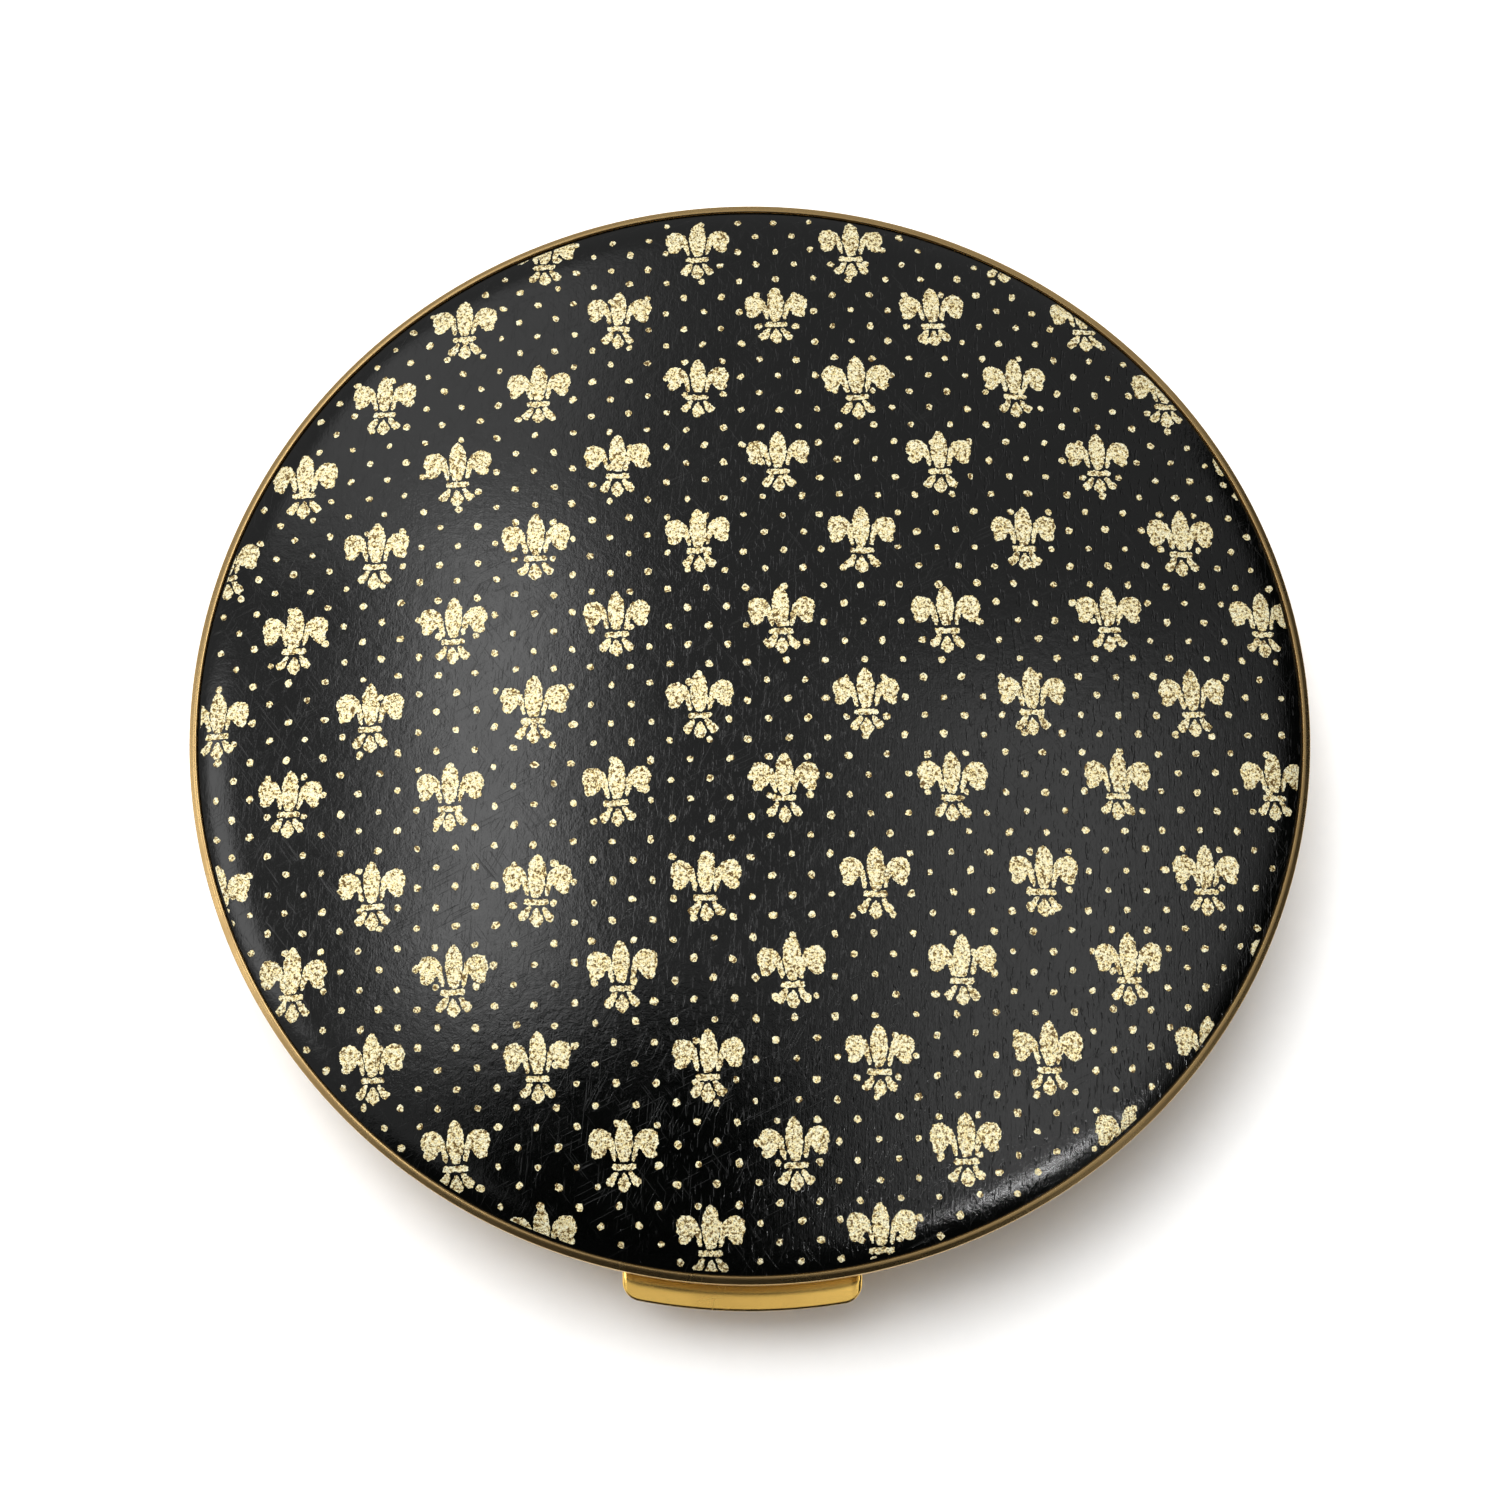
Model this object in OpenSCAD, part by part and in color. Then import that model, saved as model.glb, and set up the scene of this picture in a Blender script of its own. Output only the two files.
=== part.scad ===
// Round loose-powder compact: domed enamelled lid, framed mirror, sprung thumb
// catch, powder well with sifter and puff, and an inner lid that rises with the lid.
// Millimetres. +Z is up, -Y is the thumb-catch side, +Y is the hinge side.
// The origin is the centre of the flat foot that the case rests on.

/* [Case] */
// Outer diameter across the rolled rim of the lid
lid_d = 82; // [81:0.5:86]
// Height of the base half, from its foot to its mouth
base_h = 8; // [8:0.1:9]
// Diameter of the flat foot
foot_d = 62; // [56:1:62]
// Thickness of the drawn sheet of the base half
sheet = 0.6; // [0.5:0.05:0.6]
// Height of the lid from its mouth to the edge of the enamelled panel
lid_h = 3.5; // [3.5:0.1:4.5]
// Rise of the domed panel from its edge to its middle
dome_rise = 3.6; // [2.8:0.1:4.2]
// Thickness of the enamelled panel
panel_t = 0.45; // [0.35:0.05:0.45]
// Number of turned grooves in the foot
foot_grooves = 4; // [0:1:5]

/* [Powder well] */
// Thickness of the tray sheet
tray_t = 0.4; // [0.3:0.05:0.4]
// Depth of loose powder in the well
powder_h = 2.2; // [1.6:0.1:2.2]
// Thickness of the puff's pile
puff_h = 3; // [2.5:0.1:3]
// Width of the puff's ribbon
ribbon_w = 11; // [8:0.5:16]

/* [Mirror] */
// Thickness of the mirror glass
mirror_t = 1.1; // [0.9:0.1:1.1]

/* [Thumb catch] */
// Width of the thumb bar
bar_w = 16.9; // [14:0.1:18]
// Distance the thumb bar stands out past the lid's rim
bar_out = 1.6; // [1.5:0.1:2.4]
// Depth of the thumb scoop
scoop_h = 0.45; // [0.3:0.05:0.6]

/* [Hinges] */
// Radius of the main hinge barrel
barrel_r = 1.3; // [1.2:0.05:1.3]
// Radius of the main hinge pin
pin_r = 0.5; // [0.4:0.05:0.6]
// Radial running clearance of every turning knuckle
run_gap = 0.04; // [0.02:0.01:0.06]

/* [Hidden] */
$fn = 96;
arc_steps = 10;
dome_steps = 14;

// Radii of the case
rim_r = lid_d / 2;
wall_r = rim_r - 0.6;
foot_r = foot_d / 2;
panel_r = rim_r - 0.6;
skirt_out = rim_r - 0.1;
skirt_in = rim_r - 0.8;

// Levels of the case
mouth_z = base_h + 0.1;
edge_z = mouth_z + lid_h;
apex_z = edge_z + dome_rise;
bend_z = base_h - 1.8;
shell_t = 0.45;
dome_r = (panel_r * panel_r + dome_rise * dome_rise) / (2 * dome_rise);

// Powder well and deck
deck_z = base_h - 0.4;
well_out = rim_r - 8;
well_in = well_out - 0.5;
collar_out = rim_r - 1.25;
collar_in = collar_out - 0.5;
collar_z = deck_z + 1.4;
floor_z = sheet + tray_t;
powder_z = floor_z + powder_h;
ring_z = powder_z + 0.2;
gauze_z = ring_z + 0.45;
puff_z = gauze_z + 0.17;
puff_top = puff_z + puff_h;

// Mirror and its ring
ring_out = rim_r - 3.7;
glass_r = ring_out - 0.7;
lip_z = mouth_z + 0.9;
glass_z = lip_z + 0.4;

// Main hinge
hinge_y = rim_r - 1.1;
hinge_z = mouth_z;
knuckle_w = 3.6;
knuckle_pitch = 3.75;
hinge_half = 2 * knuckle_pitch + knuckle_w / 2;
notch_half = hinge_half + 0.3;

// Hinge of the inner lid
inner_y = rim_r - 5.1;
inner_z = deck_z + 0.3;
inner_r = 0.7;
inner_pin_r = 0.35;
inner_half = 5;

// Thumb catch
pivot_y = -(rim_r - 3.5);
pivot_z = base_h - 3;
pivot_r = 1;
hook_y = -(rim_r - 2.3);
stem_half = 4;
ear_in = 4.4;
ear_out = 5;
bar_top = mouth_z - 0.2;
bar_low = base_h - 2.5;
bar_r = rim_r + bar_out;

// Colours
gilt = [0.80, 0.61, 0.29];
bronze = [0.56, 0.40, 0.20];
steel = [0.70, 0.71, 0.73];

// Quarter-ellipse from (r0, z0) out by a and up by b
function bowl(r0, z0, a, b) = [
    for (i = [0 : arc_steps])
        let (t = 90 * i / arc_steps) [r0 + a * sin(t), z0 + b * (1 - cos(t))]
];

// The same quarter-ellipse, from its mouth down to its foot
function bowl_back(r0, z0, a, b) = [
    for (i = [0 : arc_steps])
        let (t = 90 - 90 * i / arc_steps) [r0 + a * sin(t), z0 + b * (1 - cos(t))]
];

// Level of the domed panel's face at radius r
function dome_z(r) = apex_z - dome_r + sqrt(dome_r * dome_r - r * r);

// Points along the dome from radius r to the axis, lowered by drop
function dome_in(r, drop) = [
    for (i = [0 : dome_steps]) let (q = r * (1 - i / dome_steps)) [q, dome_z(q) - drop]
];

// Points along the dome from the axis to radius r, lowered by drop
function dome_out(r, drop) = [
    for (i = [0 : dome_steps]) let (q = r * i / dome_steps) [q, dome_z(q) - drop]
];

// A block centred on X, between two Y values and two Z values
module block(half, y0, y1, z0, z1) {
    translate([-half, y0, z0])
        cube([2 * half, y1 - y0, z1 - z0]);
}

// A (Y, Z) outline drawn out along X between x0 and x1
module along_x(x0, x1, outline) {
    translate([x0, 0, 0])
        rotate([90, 0, 90])
            linear_extrude(height = x1 - x0)
                polygon(outline);
}

// A round bar along X
module bar_x(x0, x1, y, z, r) {
    translate([x0, y, z])
        rotate([0, 90, 0])
            cylinder(r = r, h = x1 - x0);
}

// One main hinge knuckle with its arm, centred at x; side is 1 for the base, -1 for the lid
module main_knuckle(x, side, bore) {
    x0 = x - knuckle_w / 2;
    x1 = x + knuckle_w / 2;
    difference() {
        union() {
            bar_x(x0, x1, hinge_y, hinge_z, barrel_r);
            along_x(x0, x1, [
                [hinge_y - 2.3, hinge_z - side * 1.9],
                [hinge_y - 1.7, hinge_z - side * 1.9],
                [hinge_y - 1.7, hinge_z - side * 1.55],
                [hinge_y, hinge_z - side * barrel_r],
                [hinge_y, hinge_z],
                [hinge_y - barrel_r, hinge_z],
                [hinge_y - 1.7, hinge_z - side],
                [hinge_y - 2.3, hinge_z - side]
            ]);
        }
        bar_x(x0 - 1, x1 + 1, hinge_y, hinge_z, bore);
    }
}

module base_shell() {
    color(gilt)
    difference() {
        rotate_extrude()
            polygon(concat(
                [[0, 0]],
                bowl(foot_r, 0, wall_r - foot_r, bend_z),
                [[wall_r, base_h], [wall_r - sheet, base_h]],
                bowl_back(foot_r, sheet, wall_r - sheet - foot_r, bend_z - sheet),
                [[0, sheet]]
            ));
        // turned grooves in the foot
        if (foot_grooves > 0)
            for (i = [1 : foot_grooves])
                rotate_extrude()
                    translate([foot_r - 1.5 - 2 * i, -1])
                        square([0.5, 1.15]);
        // gap for the hinge barrel
        block(notch_half, rim_r - 3.2, rim_r + 1, hinge_z - barrel_r - 0.3, base_h + 1);
        // slot for the thumb bar's stem
        block(stem_half + 0.3, -rim_r - 1, -rim_r + 4, pivot_z - 0.1, pivot_z + 1.4);
    }
}

module inner_tray() {
    color(gilt)
    difference() {
        rotate_extrude()
            polygon([
                [0, sheet],
                [foot_r - 0.4, sheet],
                [well_out, sheet + 1.8],
                [well_out, deck_z - tray_t],
                [collar_out, deck_z - tray_t],
                [collar_out, collar_z],
                [collar_in, collar_z],
                [collar_in, deck_z],
                [well_in, deck_z],
                [well_in, floor_z + 1.6],
                [foot_r - 0.6, floor_z],
                [0, floor_z]
            ]);
        // gap for the main hinge
        block(notch_half + 0.6, rim_r - 4.1, rim_r, deck_z - 1, collar_z + 1);
        // gap for the inner lid's hinge
        block(inner_half + 0.3, inner_y - 0.9, rim_r, deck_z - 1, collar_z + 1);
        // gap for the catch hook
        block(stem_half + 0.8, -rim_r, -(rim_r - 4.4), deck_z - 1, collar_z + 1);
    }
}

module base_hinge() {
    color(gilt) {
        for (x = [-2, 0, 2])
            main_knuckle(x * knuckle_pitch, 1, pin_r);
        intersection() {
            block(hinge_half, hinge_y - 2.7, rim_r, hinge_z - 3.6, hinge_z - 1.65);
            cylinder(r = wall_r - sheet - 0.5, h = hinge_z);
        }
    }
}

module hinge_pin() {
    color(steel)
        bar_x(-hinge_half, hinge_half, hinge_y, hinge_z, pin_r);
}

module powder_bed() {
    color([0.90, 0.76, 0.66])
        rotate_extrude()
            polygon([
                [0, floor_z],
                [foot_r - 0.7, floor_z],
                [well_in - 0.05, floor_z + 1.66],
                [well_in - 0.05, powder_z - 0.2],
                [well_in - 1.2, powder_z - 0.05],
                [well_in - 3, powder_z],
                [0, powder_z]
            ]);
}

module sifter_ring() {
    color(gilt)
        rotate_extrude()
            polygon([
                [well_in - 1.9, ring_z],
                [well_in - 0.02, ring_z],
                [well_in - 0.02, ring_z + 1.1],
                [well_in - 0.3, ring_z + 1.25],
                [well_in - 0.86, ring_z + 1.1],
                [well_in - 0.86, gauze_z],
                [well_in - 1.9, gauze_z]
            ]);
}

module sifter_gauze() {
    color([0.93, 0.90, 0.84])
        translate([0, 0, gauze_z])
            cylinder(r = well_in - 0.9, h = 0.15);
}

module puff() {
    edge = puff_h / 2;
    flat_r = well_in - 2.7 - edge;
    color([0.95, 0.83, 0.78])
        rotate_extrude()
            polygon(concat(
                [[0, puff_z]],
                [for (i = [-6 : 6])
                    [flat_r + edge * cos(15 * i), puff_z + edge + edge * sin(15 * i)]],
                [[0, puff_top]]
            ));
}

module puff_backing() {
    back_r = well_in - 5;
    color([0.93, 0.79, 0.74])
        rotate_extrude()
            polygon([
                [0, puff_top],
                [back_r, puff_top],
                [back_r, puff_top + 0.1],
                [back_r - 0.5, puff_top + 0.23],
                [0, puff_top + 0.23]
            ]);
}

module puff_ribbon() {
    span = well_in - 9.5;
    foot = puff_top + 0.23;
    color([0.90, 0.72, 0.68])
        translate([0, ribbon_w / 2, 0])
            rotate([90, 0, 0])
                linear_extrude(height = ribbon_w)
                    polygon(concat(
                        [for (i = [-12 : 12])
                            [span * i / 12, foot + 0.2 * (1 + cos(15 * i))]],
                        [for (i = [-12 : 12])
                            [-span * i / 12, foot + 0.12 + 0.2 * (1 + cos(15 * i))]]
                    ));
}

module inner_bracket() {
    color(bronze) {
        block(inner_half, well_out + 0.2, inner_y + 0.6, deck_z - 0.8, deck_z - tray_t);
        for (s = [-1, 1])
            translate([s * (inner_half - 0.9), 0, 0])
                difference() {
                    union() {
                        bar_x(-0.9, 0.9, inner_y, inner_z, inner_r);
                        block(0.9, inner_y - 0.6, inner_y + 0.6, deck_z - 0.8, inner_z);
                    }
                    bar_x(-2, 2, inner_y, inner_z, inner_pin_r);
                }
    }
}

module inner_pin() {
    color(steel)
        bar_x(-inner_half, inner_half, inner_y, inner_z, inner_pin_r);
}

module inner_spring() {
    coil = inner_pin_r + 0.03;
    color(steel)
        for (s = [-1, 1])
            translate([s * 2.35 - 0.625, inner_y, inner_z])
                rotate([0, 90, 0])
                    rotate_extrude()
                        polygon(concat(
                            [[coil, 0]],
                            [for (i = [0 : 10]) [coil + (i % 2 == 0 ? 0.12 : 0.24), i * 0.125]],
                            [[coil, 1.25]]
                        ));
}

module deck_rivets() {
    color(bronze)
        for (p = [[-3.4, -(rim_r - 5.6)], [3.4, -(rim_r - 5.6)],
                  [-6.6, rim_r - 5.6], [6.6, rim_r - 5.6]])
            translate([p[0], p[1], deck_z])
                cylinder(r1 = 0.65, r2 = 0.45, h = 0.25);
}

module catch_bracket() {
    color(bronze)
        difference() {
            union() {
                block(ear_out, -(rim_r - 4.6), -(well_out + 0.1), deck_z - 0.9, deck_z - tray_t);
                for (s = [-1, 1])
                    translate([s * (ear_in + ear_out) / 2, 0, 0])
                        block((ear_out - ear_in) / 2, pivot_y - 0.8, -(well_out + 0.3),
                            pivot_z - 0.8, deck_z - tray_t);
            }
            bar_x(-rim_r, rim_r, pivot_y, pivot_z, pin_r - 0.05);
        }
}

module catch_pin() {
    color(steel)
        bar_x(-ear_out, ear_out, pivot_y, pivot_z, pin_r - 0.05);
}

module catch_spring() {
    root_y = -(well_out + 0.05);
    tip_y = pivot_y - 2;
    low_z = pivot_z - 1.7;
    tip_z = pivot_z + 0.38;
    color(steel)
        along_x(-1.5, 1.5, [
            [root_y, pivot_z + 0.4],
            [root_y - 0.2, pivot_z + 0.4],
            [root_y - 0.2, low_z + 0.2],
            [pivot_y - 0.5, low_z + 0.2],
            [tip_y + 0.3, tip_z],
            [tip_y, tip_z],
            [tip_y, tip_z - 0.2],
            [pivot_y - 0.6, low_z],
            [root_y, low_z]
        ]);
}

module lid_shell() {
    shoulder = edge_z - 1.2;
    upper_r = rim_r - 0.5;
    color(gilt)
    difference() {
        rotate_extrude()
            polygon(concat(
                [[skirt_in, mouth_z], [skirt_out, mouth_z]],
                [[skirt_out, shoulder], [upper_r, shoulder]],
                dome_in(upper_r, panel_t + 0.01),
                dome_out(skirt_in, panel_t + shell_t)
            ));
        // gap for the hinge barrel
        block(notch_half, rim_r - 3.2, rim_r + 1, hinge_z - 1, hinge_z + barrel_r + 0.2);
    }
}

module lid_panel() {
    color([0.03, 0.03, 0.035])
        rotate_extrude()
            polygon(concat(dome_in(panel_r, 0), dome_out(panel_r, panel_t)));
}

module lid_bezel() {
    color(bronze)
        rotate_extrude()
            polygon([
                [rim_r - 0.48, edge_z - 1.2],
                [rim_r, edge_z - 1.2],
                [rim_r, edge_z - 0.14],
                [rim_r - 0.07, edge_z + 0.02],
                [rim_r - 0.21, edge_z + 0.1],
                [rim_r - 0.36, edge_z + 0.1],
                [rim_r - 0.5, edge_z + 0.02],
                [rim_r - 0.56, edge_z - 0.3],
                [rim_r - 0.48, edge_z - 0.4]
            ]);
}

module mirror_glass() {
    color([0.85, 0.88, 0.90])
        rotate_extrude()
            polygon([
                [0, glass_z],
                [glass_r - 1, glass_z],
                [glass_r - 0.1, glass_z + 0.3],
                [glass_r - 0.1, glass_z + mirror_t],
                [0, glass_z + mirror_t]
            ]);
}

module mirror_backing() {
    color([0.45, 0.36, 0.26])
        translate([0, 0, glass_z + mirror_t])
            cylinder(r = glass_r - 0.1, h = 0.25);
}

module mirror_ring() {
    color(gilt)
        rotate_extrude()
            polygon([
                [ring_out - 3.1, lip_z + 0.25],
                [ring_out - 2.9, lip_z],
                [ring_out - 0.3, lip_z],
                [ring_out, lip_z + 0.3],
                [ring_out, dome_z(ring_out) - panel_t - shell_t - 0.02],
                [glass_r, dome_z(ring_out) - panel_t - shell_t - 0.02],
                [glass_r, glass_z + 0.22],
                [glass_r - 0.7, glass_z],
                [ring_out - 3.1, glass_z]
            ]);
}

module hold_down_pad() {
    color([0.35, 0.10, 0.09])
        translate([0, -(rim_r - 5.4), lip_z - 0.5])
            cylinder(r = 0.9, h = 0.5);
}

module striker() {
    tab = -(ring_out + 0.05);
    color(steel)
        along_x(-3.2, 3.2, [
            [tab, lip_z + 1.45],
            [tab, lip_z - 0.35],
            [tab - 0.6, lip_z - 0.35],
            [tab - 1, lip_z - 0.1],
            [tab - 1, lip_z + 0.05],
            [tab - 0.6, lip_z + 0.15],
            [tab - 0.6, lip_z + 1.05],
            [tab - 2, lip_z + 1.05],
            [tab - 2, lip_z + 1.45]
        ]);
}

module lid_hinge() {
    color(gilt) {
        for (x = [-1, 1])
            main_knuckle(x * knuckle_pitch, -1, pin_r + run_gap);
        intersection() {
            block(hinge_half, hinge_y - 2.3, rim_r, hinge_z + 1.6, hinge_z + 2.5);
            cylinder(r = skirt_in - 0.05, h = edge_z);
        }
    }
}

module inner_lid() {
    flange = deck_z + 0.05;
    crown = deck_z + 1.05;
    mid = well_in - 1.3;
    color(gilt)
        rotate_extrude()
            polygon([
                [0, crown - 0.4],
                [mid, crown - 0.4],
                [mid + 0.8, flange],
                [well_out + 1.6, flange],
                [well_out + 1.6, flange + 0.4],
                [mid + 1.1, flange + 0.4],
                [mid + 0.2, crown],
                [24.6, crown],
                [24, crown + 0.14],
                [23.4, crown],
                [0, crown]
            ]);
}

module inner_knuckle() {
    flange = deck_z + 0.05;
    color(gilt)
        difference() {
            union() {
                bar_x(-1.55, 1.55, inner_y, inner_z, inner_r);
                block(1.55, well_out + 1.4, inner_y, flange + 0.4, flange + 0.7);
            }
            bar_x(-3, 3, inner_y, inner_z, inner_pin_r + run_gap);
        }
}

module inner_tab() {
    flange = deck_z + 0.45;
    color(gilt)
        along_x(-2.5, 2.5, [
            [-(well_out + 0.5), flange],
            [-(well_out + 0.5), flange + 0.25],
            [-(well_out + 2.6), flange + 0.35],
            [-(well_out + 3), flange + 0.2],
            [-(well_out + 2.6), flange + 0.05],
            [-(well_out + 1.6), flange]
        ]);
}

// The thumb bar seen from above, with rounded outer corners
module bar_plan() {
    corner = 1.2;
    cx = bar_w / 2 - corner;
    cy = sqrt(pow(bar_r - corner, 2) - cx * cx);
    intersection() {
        circle(r = bar_r);
        polygon([[0, 0], [-2 * cx, -2 * cy], [2 * cx, -2 * cy]]);
    }
    for (s = [-1, 1])
        translate([s * cx, -cy])
            circle(r = corner);
    translate([-bar_w / 2, -cy])
        square([bar_w, cy - rim_r + 2]);
}

module thumb_bar() {
    wide = bar_out - 0.1;
    tube_r = (wide * wide / 4 + scoop_h * scoop_h) / (2 * scoop_h);
    color(gilt)
    difference() {
        union() {
            difference() {
                translate([0, 0, bar_low])
                    linear_extrude(height = bar_top - bar_low)
                        bar_plan();
                // back of the bar follows the case wall
                cylinder(r = wall_r + 0.15, h = base_h + 1);
            }
            block(stem_half, -(rim_r - 0.2), pivot_y, pivot_z + 0.4, pivot_z + 1);
            bar_x(-stem_half - 0.2, stem_half + 0.2, pivot_y, pivot_z, pivot_r);
        }
        // thumb scoop
        intersection() {
            translate([0, 0, bar_top - scoop_h + tube_r])
                rotate_extrude()
                    translate([bar_r - 0.15 - wide / 2, 0])
                        circle(r = tube_r);
            block(bar_w / 2 - 0.5, -rim_r - 5, -rim_r + 5, bar_low, bar_top + 1);
        }
        bar_x(-rim_r, rim_r, pivot_y, pivot_z, pin_r - 0.05 + run_gap);
    }
}

module catch_hook() {
    color(steel)
        along_x(-3, 3, [
            [hook_y + 0.6, pivot_z + 1],
            [hook_y + 0.6, pivot_z + 1.3],
            [hook_y, pivot_z + 1.6],
            [hook_y, lip_z + 0.05],
            [hook_y + 0.6, lip_z + 0.2],
            [hook_y + 0.6, lip_z + 0.35],
            [hook_y, lip_z + 0.8],
            [hook_y - 0.6, lip_z + 0.8],
            [hook_y - 0.6, pivot_z + 1]
        ]);
}

base_shell();
inner_tray();
base_hinge();
hinge_pin();
powder_bed();
sifter_ring();
sifter_gauze();
puff();
puff_backing();
puff_ribbon();
inner_bracket();
inner_pin();
inner_spring();
deck_rivets();
catch_bracket();
catch_pin();
catch_spring();
lid_shell();
lid_panel();
lid_bezel();
mirror_glass();
mirror_backing();
mirror_ring();
hold_down_pad();
striker();
lid_hinge();
inner_lid();
inner_knuckle();
inner_tab();
thumb_bar();
catch_hook();
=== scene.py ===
"""Looks of the round powder compact: printed enamel lid, gilt case, mirror, puff and powder well.

Every size is in millimetres of the row frame until a mesh is made, and metres from there on.
"""

import logging  # noqa: E402
import math  # noqa: E402
import random  # noqa: E402
from collections.abc import Iterable, Sequence  # noqa: E402
from dataclasses import dataclass, field  # noqa: E402
from enum import Enum  # noqa: E402

import bmesh  # noqa: E402
import bpy  # noqa: E402
from mathutils import Matrix, Vector, geometry, noise  # noqa: E402


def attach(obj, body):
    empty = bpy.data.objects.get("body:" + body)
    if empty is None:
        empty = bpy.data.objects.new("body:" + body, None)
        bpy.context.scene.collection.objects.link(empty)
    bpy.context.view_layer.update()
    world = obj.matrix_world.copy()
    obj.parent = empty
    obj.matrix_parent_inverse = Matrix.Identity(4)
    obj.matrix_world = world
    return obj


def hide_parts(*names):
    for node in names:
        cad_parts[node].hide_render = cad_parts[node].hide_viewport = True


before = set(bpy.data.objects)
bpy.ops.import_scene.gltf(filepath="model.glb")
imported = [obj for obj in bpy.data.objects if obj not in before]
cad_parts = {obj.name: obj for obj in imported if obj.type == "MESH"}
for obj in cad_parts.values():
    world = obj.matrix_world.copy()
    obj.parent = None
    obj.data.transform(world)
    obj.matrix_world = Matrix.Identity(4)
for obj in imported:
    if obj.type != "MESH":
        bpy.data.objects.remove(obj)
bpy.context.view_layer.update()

MM = 0.001
MM_PER_METRE = 1000.0
FULL_TURN = 2 * math.pi
ON_AXIS = 1e-6  # a radius below this counts as on the axis

Colour = tuple[float, float, float]
Point2 = tuple[float, float]
Point3 = tuple[float, float, float]
Face = tuple[int, ...]

log = logging.getLogger("compact")


# ---------------------------------------------------------------- shader building


class Value:
    """One number that varies over a surface, with arithmetic that adds Math nodes."""

    def __init__(self, graph: "Graph", socket: bpy.types.NodeSocket) -> None:
        """Wraps a float output of a node in the given graph."""
        self.graph = graph
        self.socket = socket

    def _math(self, operation: str, *terms: "Value | float", clamp: bool = False) -> "Value":
        """Adds one Math node.

        Args:
            operation: The Math node's operation.
            terms: Its inputs, in order.
            clamp: Whether the result is held between 0 and 1.

        Returns:
            The node's result.
        """
        made = self.graph.node(
            "ShaderNodeMath", {"operation": operation, "use_clamp": clamp}, dict(enumerate(terms))
        )
        return Value(self.graph, made.outputs[0])

    def __add__(self, other: "Value | float") -> "Value":
        """Sum."""
        return self._math("ADD", self, other)

    __radd__ = __add__

    def __sub__(self, other: "Value | float") -> "Value":
        """Difference."""
        return self._math("SUBTRACT", self, other)

    def __rsub__(self, other: float) -> "Value":
        """Difference with a number on the left."""
        return self._math("SUBTRACT", other, self)

    def __mul__(self, other: "Value | float") -> "Value":
        """Product."""
        return self._math("MULTIPLY", self, other)

    __rmul__ = __mul__

    def __pow__(self, other: float) -> "Value":
        """Power."""
        return self._math("POWER", self, other)

    def sine(self) -> "Value":
        """Sine of the value in radians."""
        return self._math("SINE", self)

    def size(self) -> "Value":
        """Absolute value."""
        return self._math("ABSOLUTE", self)

    def angle(self, across: "Value") -> "Value":
        """Angle in radians whose tangent is the value over the one across."""
        return self._math("ARCTAN2", self, across)

    def largest(self, other: "Value | float") -> "Value":
        """The larger of the two."""
        return self._math("MAXIMUM", self, other)

    def held(self) -> "Value":
        """The value held between 0 and 1."""
        return self._math("ADD", self, 0.0, clamp=True)

    def rise(self, low: float, high: float) -> "Value":
        """A smooth step.

        Args:
            low: Where the step leaves 0.
            high: Where it reaches 1.

        Returns:
            0 below low, 1 above high, smooth between.
        """
        made = self.graph.node(
            "ShaderNodeMapRange",
            {"interpolation_type": "SMOOTHSTEP"},
            {"Value": self, "From Min": low, "From Max": high},
        )
        return Value(self.graph, made.outputs["Result"])


Link = Value | bpy.types.NodeSocket | float | Sequence[float]


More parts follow.
